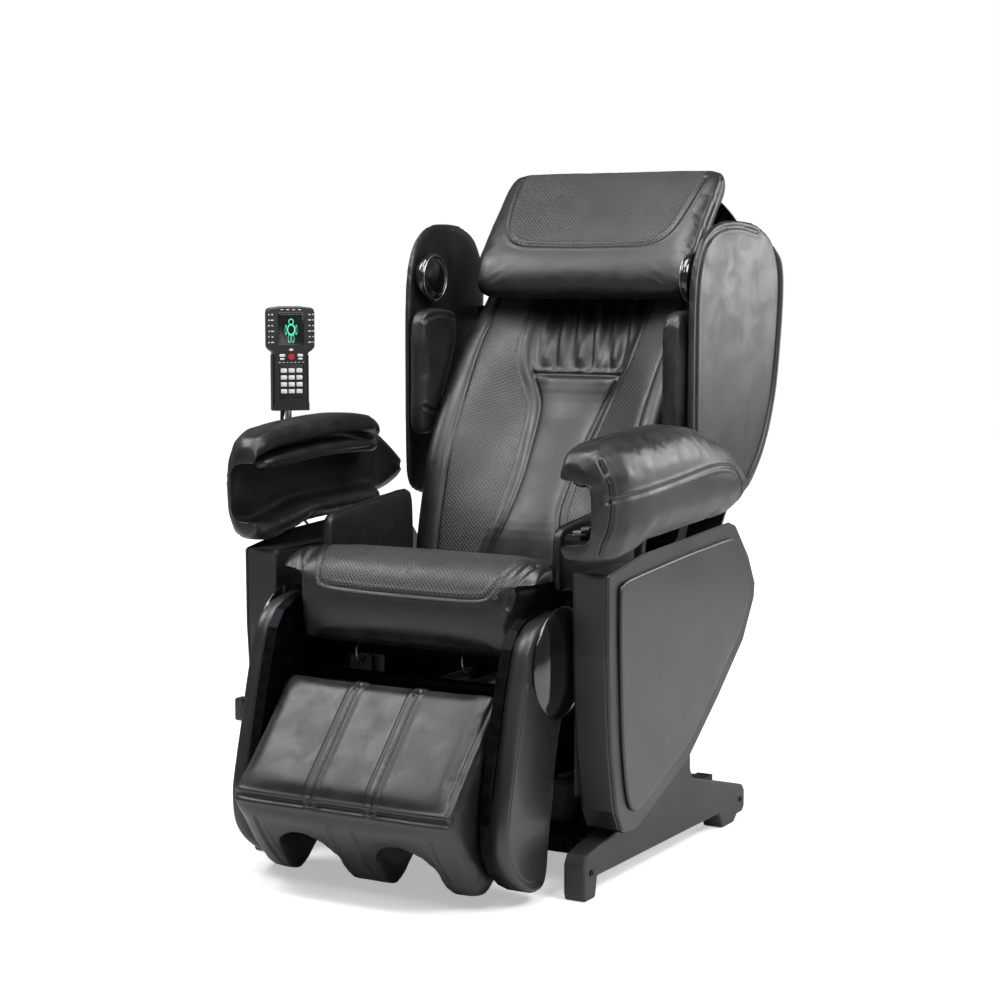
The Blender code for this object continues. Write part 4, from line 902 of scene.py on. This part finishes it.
def leg_rest_pad():
    """Leg-rest pad: sewn channels on its slope, two calf troughs under it."""
    outline = smooth_outline([(-0.352, 0.339), (-0.366, 0.342), (-0.378, 0.333), (-0.414, 0.295), (-0.450, 0.257),
                              (-0.486, 0.219), (-0.519, 0.184), (-0.527, 0.168), (-0.526, 0.146), (-0.512, 0.124),
                              (-0.478, 0.074), (-0.436, 0.029), (-0.412, 0.016), (-0.388, 0.018), (-0.352, 0.044),
                              (-0.280, 0.113), (-0.236, 0.162), (-0.223, 0.190), (-0.234, 0.220), (-0.270, 0.262)])
    rings = []
    for x, scale in ((-0.209, 0.86), (-0.206, 0.955), (-0.198, 0.985), (-0.180, 1.0), (-0.09, 1.0), (0.0, 1.0),
                     (0.09, 1.0), (0.180, 1.0), (0.198, 0.985), (0.206, 0.955), (0.209, 0.86)):
        rings.append([(x, -0.385 + (y + 0.385) * scale, 0.177 + (z - 0.177) * scale) for y, z in outline])
    body = applied(loft(rings))
    slope, inward = Vector((0.0, -0.686, -0.728)), Vector((0.0, 0.728, -0.686))
    tools = []
    for across in (-0.0950, 0.0950):
        ends = []
        for run in (-0.30, 0.30):
            start = Vector((across, -0.445, 0.259)) + slope * run
            ring = [start + Vector((0.056, 0, 0)) + inward * 0.260]
            for k in range(17):
                turn = math.pi * k / 16
                ring.append(start + Vector((0.052 * math.cos(turn), 0, 0)) + inward * (0.124 - 0.054 * math.sin(turn)))
            ring.append(start + Vector((-0.056, 0, 0)) + inward * 0.260)
            ends.append(ring)
        tools.append(loft(ends))
    mesh = upholster(cut_away(body, tools))
    channels = [sampled([(x, -0.366, 0.344), (x, -0.378, 0.335), (x, -0.450, 0.258), (x, -0.519, 0.186),
                         (x, -0.527, 0.170)]) for x in (-0.055, 0.060)]
    lip = sampled([(-0.205, -0.526, 0.166), (-0.10, -0.529, 0.165), (0.10, -0.529, 0.165), (0.205, -0.526, 0.166)])
    sides = [sampled([(s * 0.200, -0.360, 0.340), (s * 0.202, -0.450, 0.256), (s * 0.202, -0.518, 0.184)])
             for s in (-1, 1)]
    lobes = [sampled([(x, -0.514, 0.126), (x, -0.470, 0.062), (x, -0.430, 0.024)])
             for x in (-0.165, -0.022, 0.022, 0.165)]
    laid = on_cover(mesh, channels + [lip] + sides + lobes)
    groove(mesh, laid[:2], 0.0050, 0.0036, swell=0.5)
    groove(mesh, laid[2:3], 0.0050, 0.0036, swell=0.5)
    groove(mesh, laid[3:5], 0.0020, 0.0030)
    groove(mesh, laid[5:], 0.0022, 0.0030)
    beside = [[p + Vector((0.0065, 0.0, 0.0)) for p in path] for path in channels]
    above = [[p + Vector((0.0, 0.004, 0.012)) for p in lip]]
    by_lobe = [[p + Vector((0.006 if path[0].x > 0 else -0.006, 0.0, 0.0)) for p in path] for path in lobes]
    rows = on_cover(mesh, beside + above + by_lobe, STITCH_LIFT)
    cover = finish_piece("leg_rest_cover", moved(mesh), HIDE, "ottoman", ("ottoman_pad",))
    stitches("leg_rest_stitches", [shifted(p) for p in rows], "ottoman")


# ---------------------------------------------------------------- armrests
ARM_TOP = [(-0.328, 0.712), (-0.310, 0.733), (-0.270, 0.745), (-0.200, 0.751), (-0.120, 0.756), (-0.043, 0.759),
           (0.020, 0.755), (0.070, 0.744), (0.145, 0.720), (0.200, 0.686), (0.240, 0.652)]
ARM_LOW = [(-0.328, 0.562), (-0.310, 0.551), (-0.270, 0.549), (-0.200, 0.561), (-0.155, 0.573), (0.000, 0.579),
           (0.120, 0.584), (0.171, 0.590), (0.215, 0.607), (0.240, 0.626)]
ARM_OUT = [(-0.328, 0.355), (-0.318, 0.364), (-0.300, 0.375), (-0.270, 0.387), (-0.200, 0.3945), (0.120, 0.3945),
           (0.200, 0.390), (0.240, 0.378)]
ARM_LIP = [(-0.328, 0.292), (-0.300, 0.2845), (0.040, 0.2845), (0.085, 0.300), (0.120, 0.338), (0.145, 0.344),
           (0.240, 0.344)]


def armrest(side, word):
    """Armrest roll open towards the sitter, its piping, stitches and inner flap."""
    rings = []
    for y in (-0.327, -0.322, -0.312, -0.300, -0.285, -0.265, -0.240, -0.200, -0.160, -0.120, -0.080, -0.040, 0.0,
              0.040, 0.085, 0.120, 0.150, 0.190, 0.220, 0.238):
        top, low, out, lip = (blend(t, y) for t in (ARM_TOP, ARM_LOW, ARM_OUT, ARM_LIP))
        wall = max(min(out - (0.014 if y < -0.28 else 0.020), 0.356) if y < 0.10 else 0.346, lip + 0.005)
        deep, tall, wide = wall - lip, top - low, out - lip
        near, far = lip + min(0.008, 0.25 * deep), wall - min(0.010, 0.25 * deep)
        roof, deck = top - 0.036, low + 0.030
        if roof - deck < 0.020:
            roof, deck = low + 0.62 * tall, low + 0.38 * tall
        small, lower, upper = min(0.006, 0.2 * (roof - deck)), min(0.014, 0.14 * tall), min(0.017, 0.16 * tall)
        shoulder, round_out = out - min(0.036, 0.55 * wide), out - min(0.017, 0.28 * wide)
        start = lip + min(0.011, 0.22 * wide)
        shape = [(lip, deck - small), (lip, low + lower), (start, low), (shoulder, low), (round_out, low + lower * 0.8),
                 (out - 0.003, low + min(0.045, 0.30 * tall)), (out, low + 0.5 * tall),
                 (out - 0.003, top - min(0.048, 0.30 * tall)), (round_out, top - upper * 0.8), (shoulder, top),
                 (start, top), (lip, top - upper), (lip, roof + small), (near, roof), (far, roof),
                 (wall, roof - small), (wall, deck + small), (far, deck), (near, deck)]
        rings.append([(side * x, y, z) for x, z in shape])
    mesh = upholster(loft(rings), cap=0.0045, tuck=0.0028, soften=7)
    upper_seam = [(0.377, -0.312, 0.655), (0.390, -0.270, 0.659), (0.3945, -0.200, 0.664), (0.3945, -0.090, 0.672),
                  (0.3945, 0.040, 0.682), (0.3935, 0.110, 0.680), (0.392, 0.150, 0.667), (0.389, 0.178, 0.640),
                  (0.388, 0.186, 0.618)]
    rim = [(0.353, -0.300, 0.716), (0.362, -0.296, 0.690), (0.371, -0.296, 0.655), (0.371, -0.298, 0.620),
           (0.361, -0.303, 0.590), (0.352, -0.300, 0.570)]
    top_edge = [(0.317, -0.300, 0.738), (0.327, -0.254, 0.747), (0.327, -0.150, 0.753), (0.325, -0.057, 0.758)]
    seams = [sampled([(side * x, y, z) for x, y, z in path]) for path in (upper_seam, rim, top_edge)]
    laid = on_cover(mesh, seams)
    groove(mesh, laid[:1], 0.0026, 0.0028)
    groove(mesh, laid[1:2], 0.0022, 0.0032)
    double = [[p + Vector((0.0, 0.0, d)) for p in seams[0]] for d in (-0.0055, 0.0055)]
    rows = on_cover(mesh, double + [seams[2]], STITCH_LIFT)
    body = "arm_" + word
    cover = finish_piece("armrest_cover_" + word, moved(mesh), HIDE, body, ("armrest_" + word,))
    stitches("armrest_stitches_" + word, [shifted(p) for p in rows], body)
    tube("armrest_piping_" + word, [shifted(p) for p in on_cover(chair_frame_copy(cover), [seams[1][::3]], 0.0008)],
         0.0016, HIDE, body)
    flap = []
    for y, grow in ((-0.293, 0.42), (-0.288, 0.70), (-0.275, 0.90), (-0.250, 1.0), (-0.180, 1.0), (-0.110, 1.0),
                    (-0.030, 1.0), (0.030, 0.94), (0.062, 0.72), (0.077, 0.42)):
        top, half, thick = blend(ARM_TOP, y) - 0.0475, 0.0235 * grow, 0.0255 * grow
        ring = [(0.313 - half, top - 0.005), (0.313 - half * 0.98, top - thick + 0.007),
                (0.313 - half * 0.6, top - thick + 0.001), (0.313, top - thick - 0.002),
                (0.313 + half * 0.6, top - thick + 0.001), (0.313 + half * 0.98, top - thick + 0.007),
                (0.313 + half, top - 0.005), (0.313 + half * 0.7, top), (0.313 - half * 0.7, top)]
        flap.append([(side * x, y, z) for x, z in ring])
    pad = applied(loft(flap), ('SUBSURF', {"levels": 3, "render_levels": 3}))
    low_line = sampled([(side * 0.292, -0.270, 0.680), (side * 0.291, -0.120, 0.688), (side * 0.292, 0.040, 0.690)])
    groove(pad, on_cover(pad, [low_line]), 0.002, 0.003)
    inner = finish_piece("arm_flap_cover_" + word, moved(pad), HIDE, body, ("arm_flap_" + word,))


seat()
side_pads()
back_cover()
head_pillow()
leg_rest_pad()
armrest(-1, "left")
armrest(1, "right")


# ---------------------------------------------------------------- mouldings
def inset_outline(points, amount):
    """Closed outline drawn in by an amount, square to itself."""
    out = []
    count = len(points)
    area = sum(points[k][0] * points[(k + 1) % count][1] - points[(k + 1) % count][0] * points[k][1]
               for k in range(count))
    turn = 1.0 if area > 0 else -1.0
    for k in range(count):
        (a, b), (c, d) = points[k - 1], points[(k + 1) % count]
        run = math.hypot(c - a, d - b) or 1.0
        out.append((points[k][0] - turn * (d - b) / run * amount, points[k][1] + turn * (c - a) / run * amount))
    return out


def moulded_panel(name, outline, x_in, x_out, side, mat, body, radius=0.003, step=None, replaces=(), pitch=0.010):
    """Flat moulding with a rounded edge; step = (inset, rise) raises or sinks its middle behind a groove."""
    line = smooth_outline(outline, pitch)
    levels = [(x_in, radius * 0.3), (x_in + 0.0006, 0.0), (x_out - radius, 0.0)]
    for k in range(1, 5):
        turn = math.pi / 2 * k / 4
        levels.append((x_out - radius * (1 - math.sin(turn)), radius * (1 - math.cos(turn))))
    if step:
        inset, rise = step
        levels += [(x_out, inset - 0.0020), (x_out - 0.0004, inset - 0.0006), (x_out - 0.0020, inset),
                   (x_out - 0.0020, inset + 0.0012), (x_out + rise - 0.0010, inset + 0.0018),
                   (x_out + rise, inset + 0.0036)]
    else:
        levels.append((x_out, radius + 0.004))
    rings = [[(side * x, y, z) for y, z in inset_outline(line, amount)] for x, amount in levels]
    return piece(name, loft(rings), mat, body, replaces)


def turned(profile, centre, along, sides=64):
    """Turned form from (run, radius) pairs along an axis."""
    axis = Vector(along).normalized()
    one = axis.orthogonal().normalized()
    two = axis.cross(one)
    return loft([[Vector(centre) + axis * run + (one * math.cos(t) + two * math.sin(t)) * radius
                  for t in (2 * math.pi * k / sides for k in range(sides))] for run, radius in profile])


def arc_points(centre, radius, start, end, steps):
    """Points of an arc, from one angle in degrees to another."""
    return [(centre[0] + radius * math.cos(math.radians(start + (end - start) * k / steps)),
             centre[1] + radius * math.sin(math.radians(start + (end - start) * k / steps))) for k in range(steps + 1)]


SIDE_PANEL = [(-0.240, 0.500), (-0.2385, 0.400), (-0.2295, 0.260), (-0.211, 0.163), (-0.188, 0.1335), (-0.155, 0.134),
              (-0.070, 0.168), (0.022, 0.204), (0.082, 0.246), (0.142, 0.290), (0.244, 0.372), (0.283, 0.430),
              (0.2835, 0.449), (0.262, 0.490), (0.214, 0.536), (0.192, 0.5425), (0.100, 0.539), (0.000, 0.534),
              (-0.120, 0.526), (-0.210, 0.519), (-0.232, 0.513)]


def covers():
    """Side panels, leg-rest covers, pivot domes, speaker pods and the back shell."""
    for side, word in ((-1, "left"), (1, "right")):
        moulded_panel("side_panel_skin_" + word, SIDE_PANEL, 0.3575, 0.3628, side, PANEL_ABS, "base", 0.0030,
                      replaces=("side_panel_" + word,))
        edge = arc_points((-0.268, 0.384), 0.080, -38, 95, 14) + [
            (-0.320, 0.456), (-0.350, 0.442), (-0.372, 0.418), (-0.388, 0.374), (-0.405, 0.315), (-0.420, 0.254),
            (-0.433, 0.205), (-0.445, 0.149), (-0.441, 0.100), (-0.422, 0.067), (-0.387, 0.038), (-0.355, 0.022),
            (-0.320, 0.024), (-0.306, 0.048), (-0.300, 0.090), (-0.288, 0.150), (-0.274, 0.230), (-0.250, 0.300)]
        moulded_panel("leg_cover_shell_" + word, edge, 0.2361, 0.2656, side, SATIN_ABS, "leg_rest", 0.0075,
                      replaces=("leg_cover_" + word,), pitch=0.009)
        inlay = [(-0.366, 0.366), (-0.378, 0.362), (-0.391, 0.320), (-0.402, 0.282), (-0.418, 0.230), (-0.430, 0.180),
                 (-0.438, 0.140), (-0.433, 0.102), (-0.414, 0.074), (-0.385, 0.050), (-0.352, 0.040), (-0.330, 0.052),
                 (-0.318, 0.090), (-0.308, 0.140), (-0.296, 0.200), (-0.288, 0.250), (-0.298, 0.285), (-0.330, 0.330)]
        moulded_panel("leg_cover_inlay_" + word, inlay, 0.2640, 0.2668, side, PANEL_ABS, "leg_rest", 0.0024,
                      pitch=0.008)
        cap = [(0.0, 0.0915), (0.0022, 0.0920), (0.0040, 0.0905), (0.0052, 0.0880), (0.0095, 0.0790),
               (0.0130, 0.0680), (0.0160, 0.0530), (0.0180, 0.0360), (0.0190, 0.0180), (0.0192, 0.0040)]
        piece("pivot_dome_" + word, turned(cap, (side * 0.2664, -0.268, 0.384), (side, 0, 0), 96), GLOSS_ABS,
              "leg_rest", ("pivot_cap_" + word,))
        pod = [(0.0, 0.0455), (0.010, 0.0460), (0.0125, 0.0455), (0.0150, 0.0435), (0.0165, 0.0405), (0.0150, 0.0385),
               (0.0150, 0.0370), (0.0180, 0.0350), (0.0200, 0.0260), (0.0212, 0.0140), (0.0216, 0.0030)]
        piece("speaker_pod_" + word, turned(pod, (side * 0.2812, 0.222, 1.002), (-side, 0, 0), 72), GLOSS_ABS,
              "backrest", ("speaker_" + word,))
        ring = [Vector((side * 0.2652, 0.222 + 0.0415 * math.cos(t), 1.002 + 0.0415 * math.sin(t)))
                for t in (2 * math.pi * k / 64 for k in range(64))]
        tube("speaker_ring_" + word, [shifted(ring)], 0.0012, ZINC, "backrest", closed=True)
    line = [(0.282, 0.440), (0.365, 0.478), (0.455, 0.580), (0.535, 0.715), (0.580, 0.850), (0.598, 0.980),
            (0.594, 1.070), (0.577, 1.125), (0.552, 1.148)]
    path = [(p.x, p.y) for p in sampled([(a, b, 0.0) for a, b in line], 0.012)]
    inner = []
    for k, (y, z) in enumerate(path):
        (a, b), (c, d) = path[max(k - 1, 0)], path[min(k + 1, len(path) - 1)]
        run = math.hypot(c - a, d - b)
        inner.append((y - (d - b) / run * 0.006, z + (c - a) / run * 0.006))
    rings = []
    for t in np.linspace(-1.0, 1.0, 41):
        x = 0.268 * math.copysign(1.0 - (1.0 - abs(t)) ** 1.35, t)
        ring = []
        for y, z in path + inner[::-1]:
            seam = 0.0016 * math.exp(-((abs(x) - 0.205) / 0.0035) ** 2) if (y, z) in path else 0.0
            ring.append((x * blend([(1.00, 1.0), (1.035, 0.975), (1.07, 0.92), (1.15, 0.74)], z),
                         y - 0.055 * (abs(x) / 0.268) ** 8 - seam, z))
        rings.append(ring)
    piece("back_shell_skin", loft(rings), SATIN_ABS, "backrest", ("back_shell",))


# ---------------------------------------------------------------- screws by Geometry Nodes
def screw_tree():
    """Button-head screws with a hexagon socket, one at each point, turned to the stored direction."""
    tree, given = open_tree("button_head_screws", (("Head Radius", 0.0045), ("Head Height", 0.0024)))
    aim = node(tree, "GeometryNodeInputNamedAttribute", {"Name": "aim"}, data_type='FLOAT_VECTOR')
    turn = node(tree, "FunctionNodeAlignRotationToVector", {"Vector": aim.outputs["Attribute"]}, axis='Z')
    head = node(tree, "GeometryNodeMeshCylinder", {"Vertices": 20, "Side Segments": 1, "Radius": given["Head Radius"],
                                                   "Depth": given["Head Height"]})
    narrow = node(tree, "ShaderNodeMath", {0: given["Head Radius"], 1: 0.45}, operation='MULTIPLY')
    socket = node(tree, "GeometryNodeMeshCylinder", {"Vertices": 6, "Radius": narrow.outputs[0],
                                                     "Depth": given["Head Height"]})
    lift = node(tree, "ShaderNodeCombineXYZ", {"Z": given["Head Height"]})
    raised = node(tree, "GeometryNodeTransform", {"Geometry": socket.outputs["Mesh"],
                                                  "Translation": lift.outputs["Vector"]})
    hollow = node(tree, "GeometryNodeMeshBoolean", {"Mesh 1": head.outputs["Mesh"],
                                                    "Mesh 2": raised.outputs["Geometry"]}, operation='DIFFERENCE')
    laid = node(tree, "GeometryNodeInstanceOnPoints", {"Points": given["Geometry"], "Instance": hollow.outputs["Mesh"],
                                                       "Rotation": turn.outputs["Rotation"]})
    return close_tree(tree, laid.outputs["Instances"], given["Finish"])


SCREW_TREE = screw_tree()


def screws(name, spots, body, radius, height, mat):
    """Screw heads at (point, direction) pairs given in the chair frame."""
    points, aims = zip(*spots)
    mesh = bpy.data.meshes.new("spots")
    mesh.from_pydata([tuple(p) for p in shifted(points)], [], [])
    point_layer(mesh, "aim", 'FLOAT_VECTOR', aims)
    sizes = {"Head Radius": radius, "Head Height": height, "Finish": mat}
    return finish_piece(name, grown(added("spots", mesh), SCREW_TREE, sizes), mat, body, smooth=False)


def fasteners():
    """Screws of the base and back shell, and the hooks under the seat."""
    base = []
    for side in (-1, 1):
        base += [((side * 0.3290, y, z), (side, 0, 0)) for y, z in ((-0.274, 0.045), (0.070, 0.270), (0.330, 0.038))]
        base += [((side * 0.2142, y, 0.360), (-side, 0, 0)) for y in (-0.225, -0.185)]
    screws("base_screws", base, "base", 0.0050, 0.0024, POWDER)
    screws("shell_screws", [((x, 0.4600, 0.574), (0.0, 0.74, -0.66)) for x in (-0.17, 0.17)]
           + [((x, 0.5965, 1.000), (0.0, 1.0, 0.0)) for x in (-0.17, 0.17)],
           "backrest", 0.0050, 0.0030, POWDER)
    hooks = []
    for x in (-0.125, 0.085):
        hooks.append(shifted(sampled([(x, -0.262, 0.386), (x, -0.272, 0.374), (x + 0.002, -0.272, 0.358),
                                      (x + 0.004, -0.262, 0.350), (x + 0.006, -0.252, 0.356)], 0.003)))
    tube("seat_hooks", hooks, 0.0022, ZINC, "base")


# ---------------------------------------------------------------- handset
def handset_blocks(name, boxes, mat, body, replaces=(), width=0.0006):
    """Small rounded blocks on the handset's face: (across, up, half width, half height, out from, out to, oval)."""
    bm = bmesh.new()
    for across, up, wide, tall, low, high, corner in boxes:
        ring = []
        for cx, cy, start in ((1, 1, 0), (-1, 1, 90), (-1, -1, 180), (1, -1, 270)):
            for k in range(4):
                turn = math.radians(start + 30 * k)
                ring.append((across + cx * (wide - corner) + corner * math.cos(turn),
                             up + cy * (tall - corner) + corner * math.sin(turn)))
        rows = []
        for out, shrink in ((low, 0.0), (high - width, 0.0), (high - width * 0.3, width * 0.35), (high, width)):
            rows.append([bm.verts.new(handset_point(across + (a - across) * (1 - shrink / wide),
                                                    out, up + (u - up) * (1 - shrink / tall))) for a, u in ring])
        for one, two in zip(rows, rows[1:]):
            for k in range(16):
                j = (k + 1) % 16
                bm.faces.new((one[k], one[j], two[j], two[k]))
        bm.faces.new(rows[0])
        bm.faces.new(rows[-1])
    return piece(name, bm, mat, body, replaces)


def handset():
    """Keys, marks, window and pole sleeve of the handset."""
    keys, small, marks = [], [], []
    for row in range(4):
        for column in (-1, 0, 1):
            keys.append((0.0160 * column, 0.0335 + 0.0135 * row, 0.0062, 0.0042, 0.0376, 0.0404, 0.0014))
    handset_blocks("handset_key_sheet", [(0.0, 0.054, 0.0248, 0.0333, 0.0370, 0.0382, 0.002)], RUBBER, "keypad",
                   ("remote_keypad",))
    handset_blocks("handset_keys", keys, KEY_ABS, "keypad", width=0.0008)
    for across in (-0.0185, 0.0185):
        small.append((across, 0.1035, 0.0060, 0.0028, 0.0366, 0.0390, 0.0026))
        small.append((across, 0.0968, 0.0048, 0.0018, 0.0366, 0.0386, 0.0016))
    small.append((0.0, 0.1145, 0.0042, 0.0020, 0.0366, 0.0386, 0.0018))
    handset_blocks("handset_side_keys", small, KEY_ABS, "remote")
    for side in (-1, 1):
        for k in range(6):
            marks.append((side * 0.0385, 0.129 + 0.0108 * k, 0.0022 if k % 2 else 0.0034, 0.0011, 0.0373, 0.0378,
                          0.0010))
            marks.append((side * 0.0455, 0.129 + 0.0108 * k, 0.0014, 0.0014, 0.0373, 0.0378, 0.0013))
    for k in range(7):
        marks.append((-0.024 + 0.008 * k, 0.090025, 0.0024, 0.0006, 0.0373, 0.0377, 0.0005))
    for k in range(4):
        marks.append((-0.018 + 0.012 * k, 0.1925, 0.0032, 0.0007, 0.0373, 0.0377, 0.0006))
    handset_blocks("handset_marks", marks, MARKING, "remote", width=0.0002)
    frame_ring = [(0.0, 0.155, 0.0272, 0.0318, 0.0365, 0.0379, 0.003)]
    handset_blocks("handset_bezel", frame_ring, GLOSS_ABS, "remote", width=0.0005)
    screen = handset_blocks("handset_window", [(0.0, 0.155, 0.0238, 0.0284, 0.0366, 0.0384, 0.0014)], SCREEN, "remote",
                            ("remote_screen",), width=0.0004)
    co = coordinates(screen.data) - np.array(SHIFT)
    middle = np.array(handset_point(0.0, 0.0366, 0.155))
    one = np.array([math.sqrt(0.5), math.sqrt(0.5), 0.0])
    flat = np.stack([(co - middle) @ one, co[:, 2] - middle[2], np.zeros(len(co))], axis=1)
    point_layer(screen.data, "panel_flat", 'FLOAT_VECTOR', flat)
    pole = [Vector((-0.411, -0.060, 0.470)), Vector((-0.411, -0.060, 0.8055))]
    tube("pole_sleeve", [shifted(pole)], 0.0060, CHROME, "base")


def console_keys():
    """Two small lamps beside the chromed keys on the right arm's inner deck."""
    dots = [((0.3085, y, 0.5992 + (y + 0.300) * 0.10), (0.0, 0.0, 1.0)) for y in (-0.302, -0.272)]
    screws("console_lamps", dots, "arm_right", 0.0016, 0.0010, KEY_ABS)


covers()
fasteners()
handset()
console_keys()
